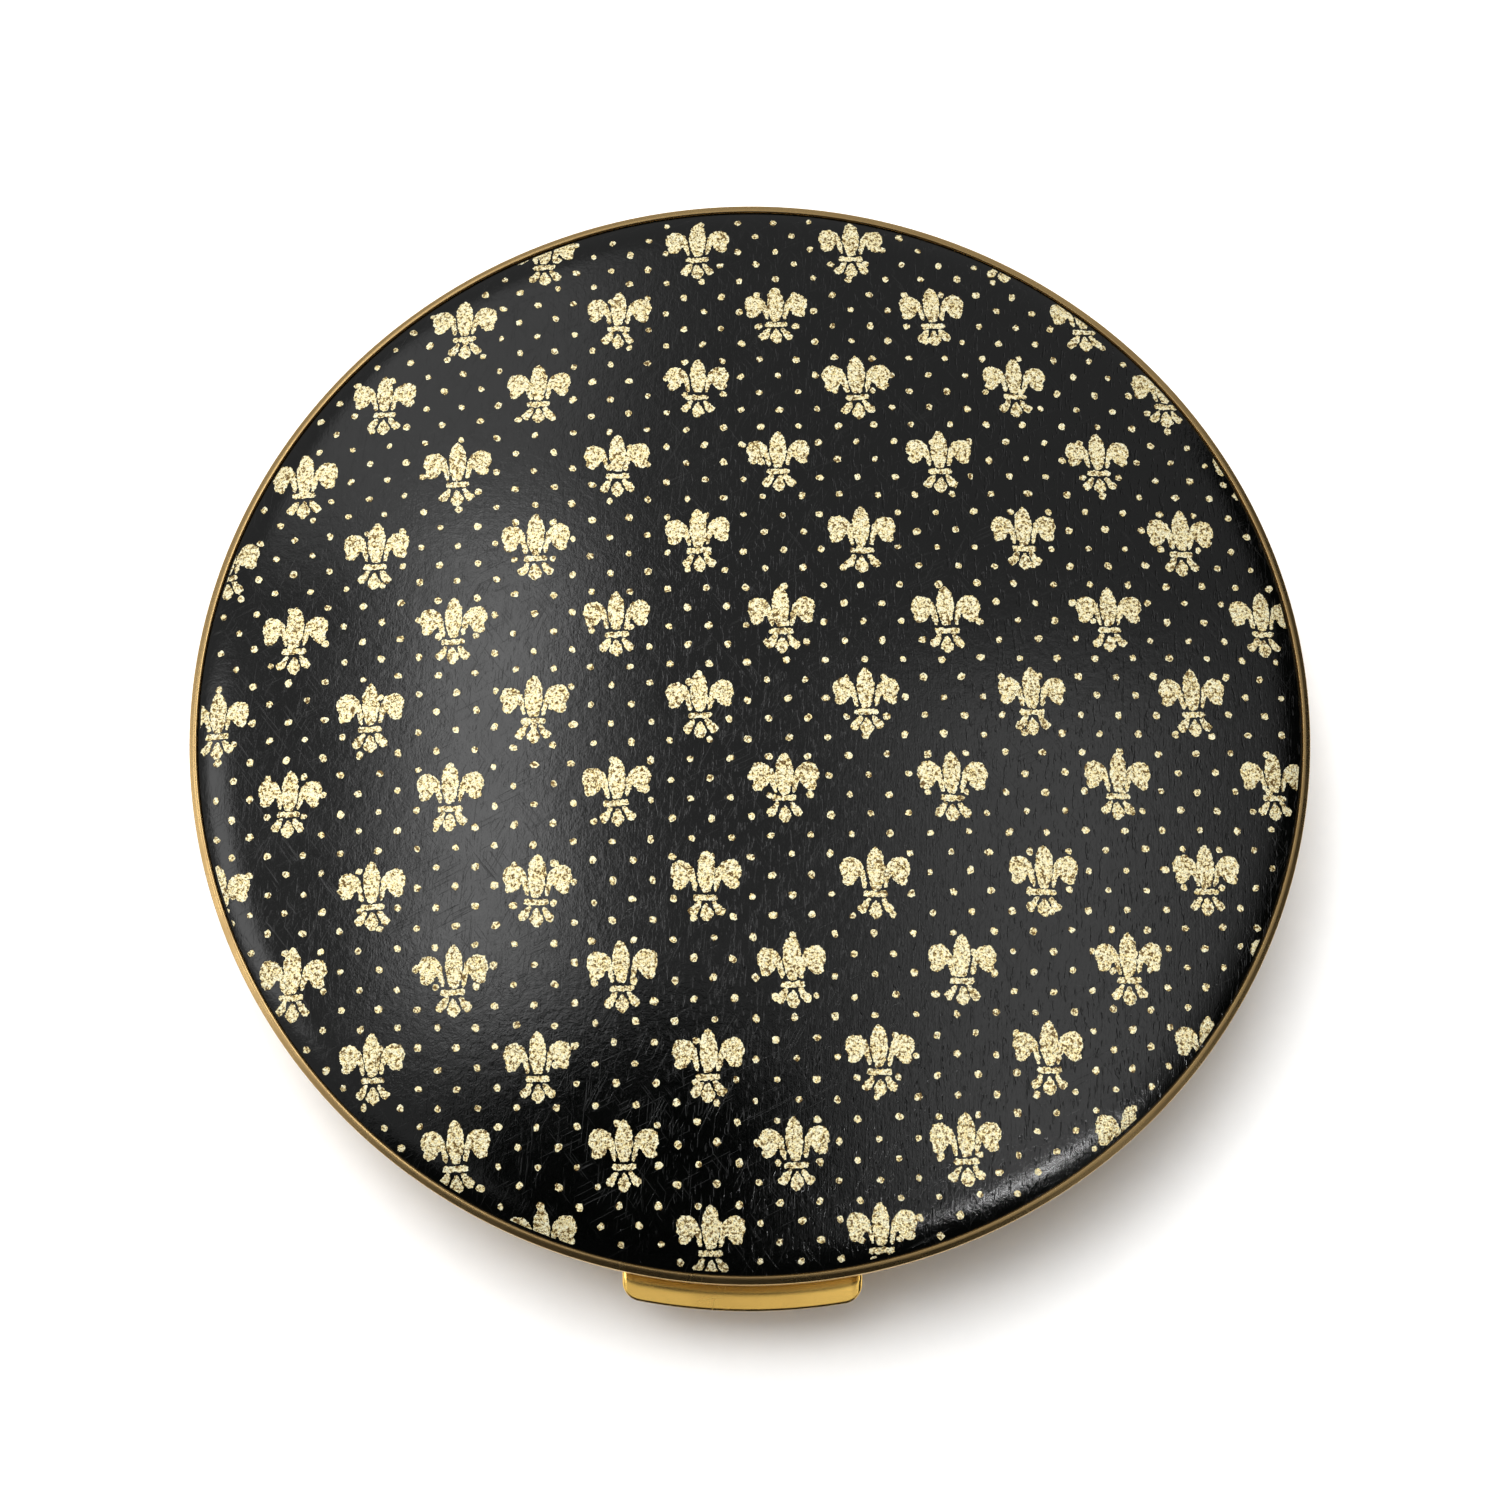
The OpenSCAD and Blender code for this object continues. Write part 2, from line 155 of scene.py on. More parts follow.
class Graph:
    """The node tree of one material, with its Principled shader."""

    def __init__(self, name: str) -> None:
        """Makes an empty material with a Principled shader and an output."""
        self.material = bpy.data.materials.new(name)
        self.material.use_nodes = True
        self.tree = self.material.node_tree
        self.tree.nodes.clear()
        self.shader = self.node("ShaderNodeBsdfPrincipled")
        output = self.node("ShaderNodeOutputMaterial")
        self.tree.links.new(self.shader.outputs[0], output.inputs["Surface"])

    def node(
        self,
        kind: str,
        settings: dict[str, object] | None = None,
        inputs: dict[str | int, Link] | None = None,
    ) -> bpy.types.Node:
        """Adds a node.

        Args:
            kind: The node's type.
            settings: Attributes that are set before any socket is looked up.
            inputs: Values or links, by socket name or index.

        Returns:
            The node.
        """
        made = self.tree.nodes.new(kind)
        for key, value in (settings or {}).items():
            setattr(made, key, value)
        for key, value in (inputs or {}).items():
            self.feed(made.inputs[key], value)
        return made

    def feed(self, socket: bpy.types.NodeSocket, value: Link) -> None:
        """Links a value to a socket, or sets the socket to a number or a colour."""
        if isinstance(value, Value):
            self.tree.links.new(value.socket, socket)
        elif isinstance(value, bpy.types.NodeSocket):
            self.tree.links.new(value, socket)
        elif isinstance(value, (int, float)):
            socket.default_value = value
        else:
            room = len(socket.default_value)
            socket.default_value = (*value, 1.0)[:room] if len(value) < room else tuple(value)[:room]

    def principled(self, **inputs: Link) -> None:
        """Feeds the Principled shader; a name such as Base_Color stands for Base Color."""
        for key, value in inputs.items():
            self.feed(self.shader.inputs[key.replace("_", " ")], value)

    def place(self) -> bpy.types.NodeSocket:
        """Object coordinates in millimetres."""
        here = self.node("ShaderNodeTexCoord").outputs["Object"]
        return self.stretched(here, (MM_PER_METRE, MM_PER_METRE, MM_PER_METRE))

    def stretched(self, vector: Link, factors: Point3) -> bpy.types.NodeSocket:
        """The vector multiplied, axis by axis, by the factors."""
        made = self.node("ShaderNodeVectorMath", {"operation": "MULTIPLY"}, {0: vector, 1: factors})
        return made.outputs[0]

    def turned(self, vector: Link, degrees: float) -> bpy.types.NodeSocket:
        """The vector turned about Z."""
        made = self.node(
            "ShaderNodeVectorRotate",
            {"rotation_type": "Z_AXIS"},
            {"Vector": vector, "Angle": math.radians(degrees)},
        )
        return made.outputs[0]

    def axes(self, vector: Link) -> tuple[Value, Value]:
        """X and Y of a vector."""
        parts = self.node("ShaderNodeSeparateXYZ", None, {0: vector}).outputs
        return Value(self, parts[0]), Value(self, parts[1])

    def polar(self, vector: Link) -> tuple[Value, Value]:
        """Distance from the Z axis in millimetres and angle about it in radians."""
        x, y = self.axes(vector)
        return (x * x + y * y) ** 0.5, y.angle(x)

    def joined(self, x: Link, y: Link, z: Link) -> bpy.types.NodeSocket:
        """A vector from three numbers."""
        return self.node("ShaderNodeCombineXYZ", None, {0: x, 1: y, 2: z}).outputs[0]

    def grain(self, vector: Link, scale: float, detail: float = 2.0, rough: float = 0.5) -> Value:
        """Noise between about 0.3 and 0.7, with the given number of bumps per millimetre."""
        made = self.node(
            "ShaderNodeTexNoise",
            None,
            {"Vector": vector, "Scale": scale, "Detail": detail, "Roughness": rough},
        )
        return Value(self, made.outputs[0])

    def streaks(self, vector: Link, factors: Point3, detail: float = 2.0, rough: float = 0.5) -> Value:
        """Noise drawn out along the axes whose factor, in bumps per millimetre, is small."""
        return self.grain(self.stretched(vector, factors), 1.0, detail, rough)

    def cells(self, vector: Link, scale: float) -> tuple[Value, Value]:
        """Voronoi cells.

        Args:
            vector: Where they are looked up.
            scale: Cells per unit.

        Returns:
            Distance to the nearest cell's point, and one random number per cell.
        """
        made = self.node("ShaderNodeTexVoronoi", None, {"Vector": vector, "Scale": scale})
        pick = self.node("ShaderNodeSeparateColor", None, {0: made.outputs["Color"]})
        return Value(self, made.outputs["Distance"]), Value(self, pick.outputs[0])

    def mix(self, first: Link, second: Link, share: Link) -> bpy.types.NodeSocket:
        """The first colour blended into the second by a share from 0 to 1."""
        made = self.node("ShaderNodeMix", {"data_type": "RGBA"}, {0: share, 6: first, 7: second})
        return made.outputs[2]

    def bump(self, height: Value, depth_mm: float) -> None:
        """Feeds the shader's normal with a relief whose full height is depth_mm."""
        inputs = {"Strength": 1.0, "Distance": depth_mm * MM, "Height": height}
        made = self.node("ShaderNodeBump", None, inputs)
        self.principled(Normal=made.outputs[0])

    def scratches(self, vector: Link, angles: Iterable[float], fineness: float, rarity: float) -> Value:
        """Short straight hairline scratches.

        Args:
            vector: Where they are looked up, in millimetres.
            angles: Directions of the scratches from the Y axis, in degrees.
            fineness: Bumps per millimetre across a scratch.
            rarity: Threshold of the noise that a scratch has to pass.

        Returns:
            1 in the middle of a scratch and 0 away from any.
        """
        edge = 0.05
        total: Value | None = None
        for index, angle in enumerate(angles):
            along = self.turned(vector, angle)
            lines = self.streaks(along, (fineness, 0.22, 1.0), 1.0)
            patch = self.streaks(along, (0.5 + 0.1 * index, 0.35, 1.0), 1.0).rise(0.44, 0.6)
            mark = lines.rise(rarity, rarity + edge) * patch
            total = mark if total is None else total.largest(mark)
        return total


# ---------------------------------------------------------------- finishes


class Lay(Enum):
    """How the fine lines of a worked metal run."""

    TURNED = "turned on the lathe"
    DRAWN = "drawn along X"
    SUNBURST = "rays from the middle"
    SATIN = "no direction"


@dataclass(frozen=True)
class Gilt:
    """Gilt or plain metal with fine working lines, slight tarnish and small scratches.

    Attributes:
        depth: Height of the working lines in millimetres.
        wear: Amount of tarnish, pits and scratches, 1 being the most.
        rays: Number of rays of a sunburst.
    """

    name: str
    colour: Colour
    tarnish: Colour
    roughness: float = 0.24
    lay: Lay = Lay.TURNED
    depth: float = 0.004
    wear: float = 1.0
    rays: int = 0

    def lines(self, graph: Graph, place: bpy.types.NodeSocket) -> Value:
        """Height of the working lines, between 0 and 1."""
        radius, angle = graph.polar(place)
        if self.lay is Lay.TURNED:
            return graph.grain(graph.joined(radius, 0.0, 0.0), 9.0, 3.0, 0.7)
        if self.lay is Lay.DRAWN:
            return graph.streaks(place, (0.25, 9.0, 9.0), 3.0, 0.7)
        if self.lay is Lay.SUNBURST:
            rays = (angle * float(self.rays)).sine() * 0.5 + 0.5
            fine_rays = graph.grain(graph.joined(angle * 70.0, radius * 0.15, 0.0), 1.0, 3.0, 0.6)
            return rays * 0.75 + fine_rays * 0.25
        return graph.grain(place, 7.0, 3.0, 0.7)

    def make(self) -> bpy.types.Material:
        """Builds the material."""
        graph = Graph(self.name)
        place = graph.place()
        lines = self.lines(graph, place)
        cloud = graph.grain(place, 0.16, 4.0, 0.62).rise(0.42, 0.68) * self.wear
        marks = graph.scratches(place, (12.0, 78.0, 131.0), 6.0, 0.66) * self.wear
        pits = graph.grain(place, 3.2, 2.0).rise(0.66, 0.74) * self.wear
        stain = (cloud * 0.55 + pits * 0.35).held()
        graph.principled(
            Base_Color=graph.mix(self.colour, self.tarnish, stain),
            Metallic=1.0,
            Roughness=(cloud * 0.10 + lines * 0.08 + marks * 0.12 + self.roughness).held(),
        )
        graph.bump(lines * 0.7 - marks * 0.3 - pits * 0.15, self.depth)
        return graph.material


@dataclass(frozen=True)
class Enamel:
    """Near-black gloss enamel: orange peel, and hairlines that are denser where hands held it.

    Attributes:
        relief: Height of the surface's unevenness in millimetres.
        handled_from: X in millimetres where the hairlines begin to get denser.
        handled_to: X in millimetres where they are at their densest.
    """

    name: str = "black_enamel"
    colour: Colour = (0.0003, 0.0004, 0.0003)
    dust: Colour = (0.011, 0.011, 0.010)
    roughness: float = 0.055
    relief: float = 0.022
    handled_from: float = -14.0
    handled_to: float = 12.0

    def make(self) -> bpy.types.Material:
        """Builds the material."""
        graph = Graph(self.name)
        place = graph.place()
        brushed = graph.streaks(place, (7.0, 0.8, 1.0), 3.0, 0.7)
        nicks = graph.streaks(place, (5.0, 0.9, 1.0), 1.0).rise(0.60, 0.70)
        peel = graph.grain(place, 1.6, 4.0, 0.75)
        worn = graph.grain(place, 0.09, 3.0, 0.6).rise(0.38, 0.66)
        marks = graph.scratches(place, (4.0, 27.0, 63.0, 142.0), 11.0, 0.66)
        specks = graph.grain(place, 6.5, 1.0).rise(0.74, 0.79)
        graph.principled(
            Base_Color=graph.mix(self.colour, self.dust, (marks * 0.22 + specks * 0.5).held()),
            Roughness=(worn * 0.05 + brushed * 0.10 + marks * 0.10 + self.roughness).held(),
        )
        right = graph.axes(place)[0].rise(self.handled_from, self.handled_to)
        handled = right * 0.85 + 0.15
        graph.bump(peel * 0.8 + (brushed * 0.5 - nicks * 0.55) * handled - marks * 0.12, self.relief)
        return graph.material


@dataclass(frozen=True)
class PrintedGold:
    """Pale gold leaf print: coarse bright flakes with darker grains between them; the peaks of its relief are
    lightened as a painted highlight and its hollows darkened as painted shade.
    """

    name: str = "printed_gold"
    # The palest colour is the leaf's own tone together with a painted highlight; the deepest colour is its
    # dark grains together with painted shade in the hollows.
    flake_and_highlight: Colour = (1.0, 0.97, 0.71)
    middle: Colour = (0.92, 0.72, 0.28)
    grain_and_shade: Colour = (0.12, 0.062, 0.012)
    relief: float = 0.07

    def make(self) -> bpy.types.Material:
        """Builds the material."""
        graph = Graph(self.name)
        place = graph.place()
        gap, pick = graph.cells(place, 7.0)
        coarse = graph.grain(place, 4.2, 2.0, 0.7)
        fine = graph.grain(place, 9.0, 1.0)
        # The pale colour is partly the leaf's own tone and partly a painted highlight laid on the peaks of
        # the relief that the bump draws.
        bright = (pick * 0.55 + coarse.rise(0.4, 0.62) * 0.6 - 0.05).held()
        body = graph.mix(self.middle, self.flake_and_highlight, bright)
        # Painted shade: the hollows of that same relief are darkened, on top of the dark tone of the fine
        # grains and the cell edges.
        shaded_hollows = (1.0 - coarse.rise(0.40, 0.46)) * 0.9
        dark = (shaded_hollows + fine.rise(0.57, 0.66) * 0.7 + gap.rise(0.5, 0.8) * 0.3).held()
        graph.principled(
            Base_Color=graph.mix(body, self.grain_and_shade, dark),
            Metallic=0.6,
            Roughness=(pick * 0.22 + 0.26).held(),
        )
        graph.bump(coarse * 0.6 + fine * 0.4, self.relief)
        return graph.material


@dataclass(frozen=True)
class Silvered:
    """Silvered mirror glass with faint smears."""

    name: str = "mirror"
    colour: Colour = (0.90, 0.92, 0.92)
    speck: Colour = (0.45, 0.44, 0.42)
    wiped: float = 35.0

    def make(self) -> bpy.types.Material:
        """Builds the material."""
        graph = Graph(self.name)
        place = graph.place()
        smear = graph.streaks(graph.turned(place, self.wiped), (0.06, 0.30, 1.0), 4.0).rise(0.5, 0.7)
        specks = graph.grain(place, 2.4, 1.0).rise(0.76, 0.80)
        graph.principled(
            Base_Color=graph.mix(self.colour, self.speck, specks * 0.6),
            Metallic=1.0,
            Roughness=(smear * 0.05 + specks * 0.3 + 0.012).held(),
        )
        return graph.material


@dataclass(frozen=True)
class Pile:
    """Brushed fabric pile such as velour or felt."""

    name: str
    colour: Colour
    shade: Colour
    fibres: float = 5.0
    depth: float = 0.12
    sheen: float = 0.6

    def make(self) -> bpy.types.Material:
        """Builds the material."""
        graph = Graph(self.name)
        place = graph.place()
        fibre = graph.grain(place, self.fibres, 3.0, 0.7)
        nap = graph.streaks(place, (0.25, 0.5, 0.5)).rise(0.4, 0.62)
        lit = (fibre.rise(0.36, 0.6) * 0.7 + nap * 0.3).held()
        graph.principled(
            Base_Color=graph.mix(self.shade, self.colour, lit),
            Roughness=(1.0 - nap * 0.08).held(),
            Sheen_Weight=self.sheen,
            Sheen_Roughness=0.4,
        )
        graph.bump(fibre, self.depth)
        return graph.material


@dataclass(frozen=True)
class Woven:
    """Plain or satin weave; open weaves let light through.

    Attributes:
        pitch: Distance over two threads in millimetres.
        open_share: How far the gaps between the threads are see-through, from 0 to 1.
        ratio: Threads along Y for each thread along X.
    """

    name: str
    colour: Colour
    shade: Colour
    pitch: float
    roughness: float = 0.45
    open_share: float = 0.0
    ratio: float = 1.0

    def make(self) -> bpy.types.Material:
        """Builds the material."""
        graph = Graph(self.name)
        place = graph.place()
        x, y = graph.axes(place)
        turn = FULL_TURN / self.pitch
        warp = (x * turn).sine().size()
        weft = (y * (turn * self.ratio)).sine().size()
        thread = warp.largest(weft)
        uneven = graph.grain(place, 0.7, 3.0)
        lit = (thread.rise(0.2, 0.9) * 0.7 + uneven * 0.4).held()
        graph.principled(
            Base_Color=graph.mix(self.shade, self.colour, lit),
            Roughness=(uneven * 0.2 + (self.roughness - 0.1)).held(),
            Sheen_Weight=0.25,
        )
        if self.open_share > 0:
            solid = thread.rise(0.86, 0.93) * self.open_share
            graph.principled(Alpha=(solid + (1.0 - self.open_share)).held())
        graph.bump(thread * 0.8 + uneven * 0.2, 0.05)
        return graph.material


@dataclass(frozen=True)
class Matt:
    """Matt powder, card or floor: fine mottling with no gloss."""

    name: str
    colour: Colour
    shade: Colour
    scale: float = 2.0
    depth: float = 0.05
    roughness: float = 0.9

    def make(self) -> bpy.types.Material:
        """Builds the material."""
        graph = Graph(self.name)
        place = graph.place()
        mottle = graph.grain(place, self.scale, 4.0, 0.6)
        graph.principled(
            Base_Color=graph.mix(self.shade, self.colour, mottle.rise(0.36, 0.62)),
            Roughness=(mottle * 0.1 + (self.roughness - 0.05)).held(),
            Specular_IOR_Level=0.3,
        )
        graph.bump(mottle, self.depth)
        return graph.material


Finish = Gilt | Enamel | PrintedGold | Silvered | Pile | Woven | Matt


class Workshop:
    """Makes each finish once and dresses pieces and CAD nodes with it."""

    made: dict[str, bpy.types.Material] = {}

    @classmethod
    def material(cls, finish: Finish) -> bpy.types.Material:
        """The material of a finish, made on first use."""
        if finish.name not in cls.made:
            cls.made[finish.name] = finish.make()
        return cls.made[finish.name]

    @classmethod
    def dress(cls, thing: bpy.types.Object, finish: Finish) -> None:
        """Gives an object the finish as its only material."""
        thing.data.materials.clear()
        thing.data.materials.append(cls.material(finish))

    @classmethod
    def dress_nodes(cls, finish: Finish, *nodes: str) -> None:
        """Gives the named CAD nodes the finish."""
        for node in nodes:
            cls.dress(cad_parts[node], finish)
            log.info("dressed %s with %s", node, finish.name)


# ---------------------------------------------------------------- meshes


def add_piece(
    name: str,
    points: Sequence[Point3],
    faces: Sequence[Face],
    finish: Finish,
    body: str,
    *,
    replaces: Sequence[str] = (),
    sharp: float = 35.0,
) -> bpy.types.Object:
    """Makes a visible piece and puts it on its body.

    Args:
        name: The piece's name.
        points: Its vertices in millimetres.
        faces: Its faces.
        finish: What it is finished with.
        body: The CAD body it rides on.
        replaces: The CAD nodes it stands for.
        sharp: Edges that turn by more degrees than this stay sharp.

    Returns:
        The object.
    """
    mesh = bpy.data.meshes.new(name)
    mesh.from_pydata([Vector(p) * MM for p in points], [], faces)
    shaped = bmesh.new()
    shaped.from_mesh(mesh)
    bmesh.ops.recalc_face_normals(shaped, faces=shaped.faces)
    shaped.to_mesh(mesh)
    shaped.free()
    mesh.polygons.foreach_set("use_smooth", [True] * len(mesh.polygons))
    mesh.set_sharp_from_angle(angle=math.radians(sharp))
    piece = bpy.data.objects.new(name, mesh)
    bpy.context.scene.collection.objects.link(piece)
    Workshop.dress(piece, finish)
    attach(piece, body)
    if replaces:
        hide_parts(*replaces)
    log.info("made %s: %d faces on %s", name, len(mesh.polygons), body)
    return piece


def lathe(outline: Sequence[Point2], segments: int = 256) -> tuple[list[Point3], list[Face]]:
    """Turns a closed (radius, height) outline about the Z axis.

    Args:
        outline: The outline's points; a point on the axis becomes one vertex.
        segments: Steps round the turn.

    Returns:
        Vertices and faces.
    """
    points: list[Point3] = []
    rings: list[list[int]] = []
    for radius, height in outline:
        if radius < ON_AXIS:
            rings.append([len(points)] * segments)
            points.append((0.0, 0.0, height))
            continue
        rings.append(list(range(len(points), len(points) + segments)))
        for step in range(segments):
            angle = FULL_TURN * step / segments
            points.append((radius * math.cos(angle), radius * math.sin(angle), height))
    faces: list[Face] = []
    for low, high in zip(rings, rings[1:] + rings[:1]):
        if low[0] == low[1] and high[0] == high[1]:
            continue
        for step in range(segments):
            after = (step + 1) % segments
            corners = (low[step], low[after], high[after], high[step])
            faces.append(tuple(dict.fromkeys(corners)))
    return points, faces


def smoothed(outline: Sequence[Point2], spacing: float) -> list[Point2]:
    """A closed Catmull-Rom curve through the outline, resampled.

    Args:
        outline: The curve's control points.
        spacing: Distance between samples, in millimetres.

    Returns:
        The samples.
    """
    count = len(outline)
    curve: list[Point2] = []
    for index in range(count):
        a, b, c, d = (Vector(outline[(index + k) % count]) for k in (-1, 0, 1, 2))
        steps = max(1, round((c - b).length / spacing))
        for step in range(steps):
            t = step / steps
            square, cube = 2 * a - 5 * b + 4 * c - d, 3 * b - a - 3 * c + d
            spot = 0.5 * (2 * b + (c - a) * t + square * t * t + cube * t**3)
            curve.append((spot.x, spot.y))
    return curve


def inside(spot: Point2, outline: Sequence[Point2]) -> bool:
    """Whether a point lies inside a closed outline."""
    x, y = spot
    found = False
    for (x0, y0), (x1, y1) in zip(outline, [*outline[1:], outline[0]]):
        if (y0 > y) != (y1 > y) and x < (x1 - x0) * (y - y0) / (y1 - y0) + x0:
            found = not found
    return found


# ---------------------------------------------------------------- the lid


@dataclass
class Dome:
    """The crowned face of the lid panel: a sphere that rolls down at its edge.

    Attributes:
        apex: Height of its middle.
        rise: How far the middle stands over the sphere's edge.
        radius: Radius of the edge.
        roll_start: Radius where the roll begins.
        roll_drop: How far the roll takes the edge down.
    """

    apex: float = 15.2
    rise: float = 3.6
    radius: float = 40.4
    roll_start: float = 37.2
    roll_drop: float = 0.3

    @property
    def sphere(self) -> float:
        """Radius of the sphere that the face is part of."""
        return (self.radius**2 + self.rise**2) / (2 * self.rise)

    def plain(self, radius: float) -> float:
        """Height of the sphere at a radius."""
        return self.apex - self.sphere + math.sqrt(self.sphere**2 - radius**2)

    def height(self, radius: float) -> float:
        """Height of the finished face, which rolls down at its edge."""
        past = max(0.0, radius - self.roll_start) / (self.radius - self.roll_start)
        return self.plain(radius) - self.roll_drop * past**3


@dataclass
class EnamelPanel:
    """The black enamelled panel of the lid."""

    dome: Dome
    thickness: float = 0.44
    rings: int = 46
    edge_rings: int = 16
    back_radii: tuple[float, ...] = (40.37, 36.0, 28.0, 18.0, 8.0, 0.0)

    def outline(self) -> list[Point2]:
        """Closed outline from the middle of the face round to the middle of the back."""
        start, end = self.dome.roll_start, self.dome.radius
        radii = [start * k / self.rings for k in range(self.rings)]
        radii += [start + (end - start) * k / self.edge_rings for k in range(self.edge_rings + 1)]
        face = [(r, self.dome.height(r)) for r in radii]
        back = [(r, self.dome.plain(r) - self.thickness) for r in self.back_radii]
        return face + back

    def build(self) -> None:
        """Makes the panel."""
        points, faces = lathe(self.outline())
        add_piece(
            "enamel_panel", points, faces, Enamel(), "lid",
            replaces=["lid_panel"], sharp=50,
        )  # fmt: skip


def mirrored(half: Sequence[Point2]) -> list[Point2]:
    """The points mirrored left to right, in the opposite order."""
    return [(-x, y) for x, y in reversed(half)]


@dataclass
class Print:
    """The printed gold lily-flower and dot pattern on the panel.

    Attributes:
        limit: Radius where the pattern is cut off by the rim.
        turn: Degrees the pattern is askew.
        squeeze: How far it is drawn in near the panel's edge.
        seam_row: The row at and below which the pattern is shifted, where it was joined.
        tip: Height of a flower's tip over its centre.
        sink: How far the underside of the print lies in the enamel.
    """

    dome: Dome
    seed: int = 41
    thickness: float = 0.022
    limit: float = 40.16
    scale: float = 0.99
    turn: float = 1.5
    squeeze: float = 0.010
    flower_pitch: Point2 = (5.98, 6.262)
    flower_start: Point2 = (2.583, 6.173)
    seam_row: int = -3
    seam_shift: Point2 = (0.32, -0.655)
    tip: float = 2.2
    edge_step: float = 0.085
    edge_grain: float = 0.058
    sink: float = 0.012
    dot_pitch: Point2 = (1.40525, 1.4292)
    dot_start: Point2 = (1.4894, 1.2898)
    dot_turn: float = 0.431
    dot_radius: float = 0.262
    flowers: list[list[list[Point2]]] = field(default_factory=list)

    HEART = (
        (0.0, 0.0), (0.20, 0.14), (0.37, 0.36), (0.53, 0.74), (0.61, 1.25), (0.61, 1.75), (0.52, 2.3),
        (0.38, 2.72), (0.26, 3.0), (0.0, 3.06),
    )  # fmt: skip
    PETAL = (
        (0.62, 2.92), (0.58, 2.6), (0.64, 2.3), (0.71, 1.8), (0.86, 1.32), (1.14, 0.98), (1.5, 0.79),
        (1.88, 0.77), (2.22, 0.93), (2.43, 1.35), (2.43, 1.82), (2.26, 2.12), (2.28, 2.5), (2.06, 2.74),
        (1.7, 2.72), (1.38, 2.48), (1.17, 2.14), (1.03, 2.2), (0.92, 2.6), (0.78, 2.92),
    )  # fmt: skip
    BAND = (
        (-0.8, 3.20), (-0.4, 3.17), (0.1, 3.2), (0.6, 3.17), (0.82, 3.24), (0.8, 3.54), (0.1, 3.58),
        (-0.8, 3.56),
    )  # fmt: skip
    SIDE_LOBE = (
        (0.40, 3.74), (0.62, 3.70), (0.90, 3.97), (1.22, 4.25), (1.28, 4.45), (1.05, 4.72), (0.78, 4.66),
        (0.56, 4.36), (0.44, 4.0),
    )  # fmt: skip
    MID_LOBE = ((0.0, 3.80), (0.15, 3.95), (0.33, 4.25), (0.47, 4.55), (0.40, 4.8), (0.14, 5.06), (0.0, 5.10))

    def turned(self, spot: Point2) -> Point2:
        """The spot on the finished panel: the pattern sits slightly askew and is drawn in at its edge."""
        x, y = spot[0] - 0.12, spot[1] + 0.07 + 0.0046 * spot[0]
        pull = 1 - self.squeeze * (min(math.hypot(x, y), 41.0) / 37.0) ** 6
        cos, sin = pull * math.cos(math.radians(self.turn)), pull * math.sin(math.radians(self.turn))
        return x * cos - y * sin, x * sin + y * cos

    def shapes(self) -> list[list[Point2]]:
        """Outlines of one clean flower, tip at the origin and Y down."""
        heart = [*self.HEART, *mirrored(self.HEART[1:-1])]
        lobe = [*self.MID_LOBE, *mirrored(self.MID_LOBE[1:-1])]
        return [
            heart, list(self.PETAL), mirrored(self.PETAL), list(self.BAND),
            list(self.SIDE_LOBE), mirrored(self.SIDE_LOBE), lobe,
        ]  # fmt: skip

    def rough(self, outline: Sequence[Point2], dice: random.Random) -> list[Point2]:
        """A grainy edge.

        Args:
            outline: Control points of the clean edge.
            dice: Source of the variation.

        Returns:
            The grainy outline.
        """
        curve = smoothed(outline, self.edge_step)
        phase = dice.uniform(0, 90)
        result = []
        for index, (x, y) in enumerate(curve):
            ahead, behind = curve[(index + 1) % len(curve)], curve[index - 1]
            normal = Vector((ahead[1] - behind[1], behind[0] - ahead[0]))
            if normal.length > 0:
                normal.normalize()
            coarse = noise.noise(Vector((x * 3.1, y * 3.1, phase)))
            shift = self.edge_grain * (1.3 * coarse + dice.uniform(-0.75, 0.75))
            result.append((x + normal.x * shift, y + normal.y * shift))
        return result

    def clipped(self, outline: list[Point2]) -> list[Point2]:
        """The outline cut off at the rim, or nothing if it lies outside."""
        sizes = [math.hypot(x, y) for x, y in outline]
        if min(sizes) > self.limit - 0.1:
            return []
        return [
            (x * self.limit / size, y * self.limit / size) if size > self.limit else (x, y)
            for (x, y), size in zip(outline, sizes)
        ]

    def flower(self, centre: Point2, dice: random.Random) -> list[list[Point2]]:
        """Grainy outlines of one flower centred on a point of the panel."""
        lean = math.radians(self.turn + dice.gauss(0.4, 0.9))
        cos, sin = math.cos(lean), math.sin(lean)
        swell = self.scale * dice.uniform(0.97, 1.03)
        parts = []
        for shape in self.shapes():
            slip = (dice.gauss(0, 0.025), dice.gauss(0, 0.025))
            grow = dice.uniform(0.97, 1.05)
            middle = sum((Vector(p) for p in shape), Vector((0, 0))) / len(shape)
            placed = []
            for x, y in self.rough(shape, dice):
                u = (middle.x + (x - middle.x) * grow + slip[0]) * swell
                v = self.tip - (middle.y + (y - middle.y) * grow + slip[1]) * swell
                placed.append((centre[0] + u * cos - v * sin, centre[1] + u * sin + v * cos))
            kept = self.clipped(placed)
            if kept:
                parts.append(kept)
        return parts

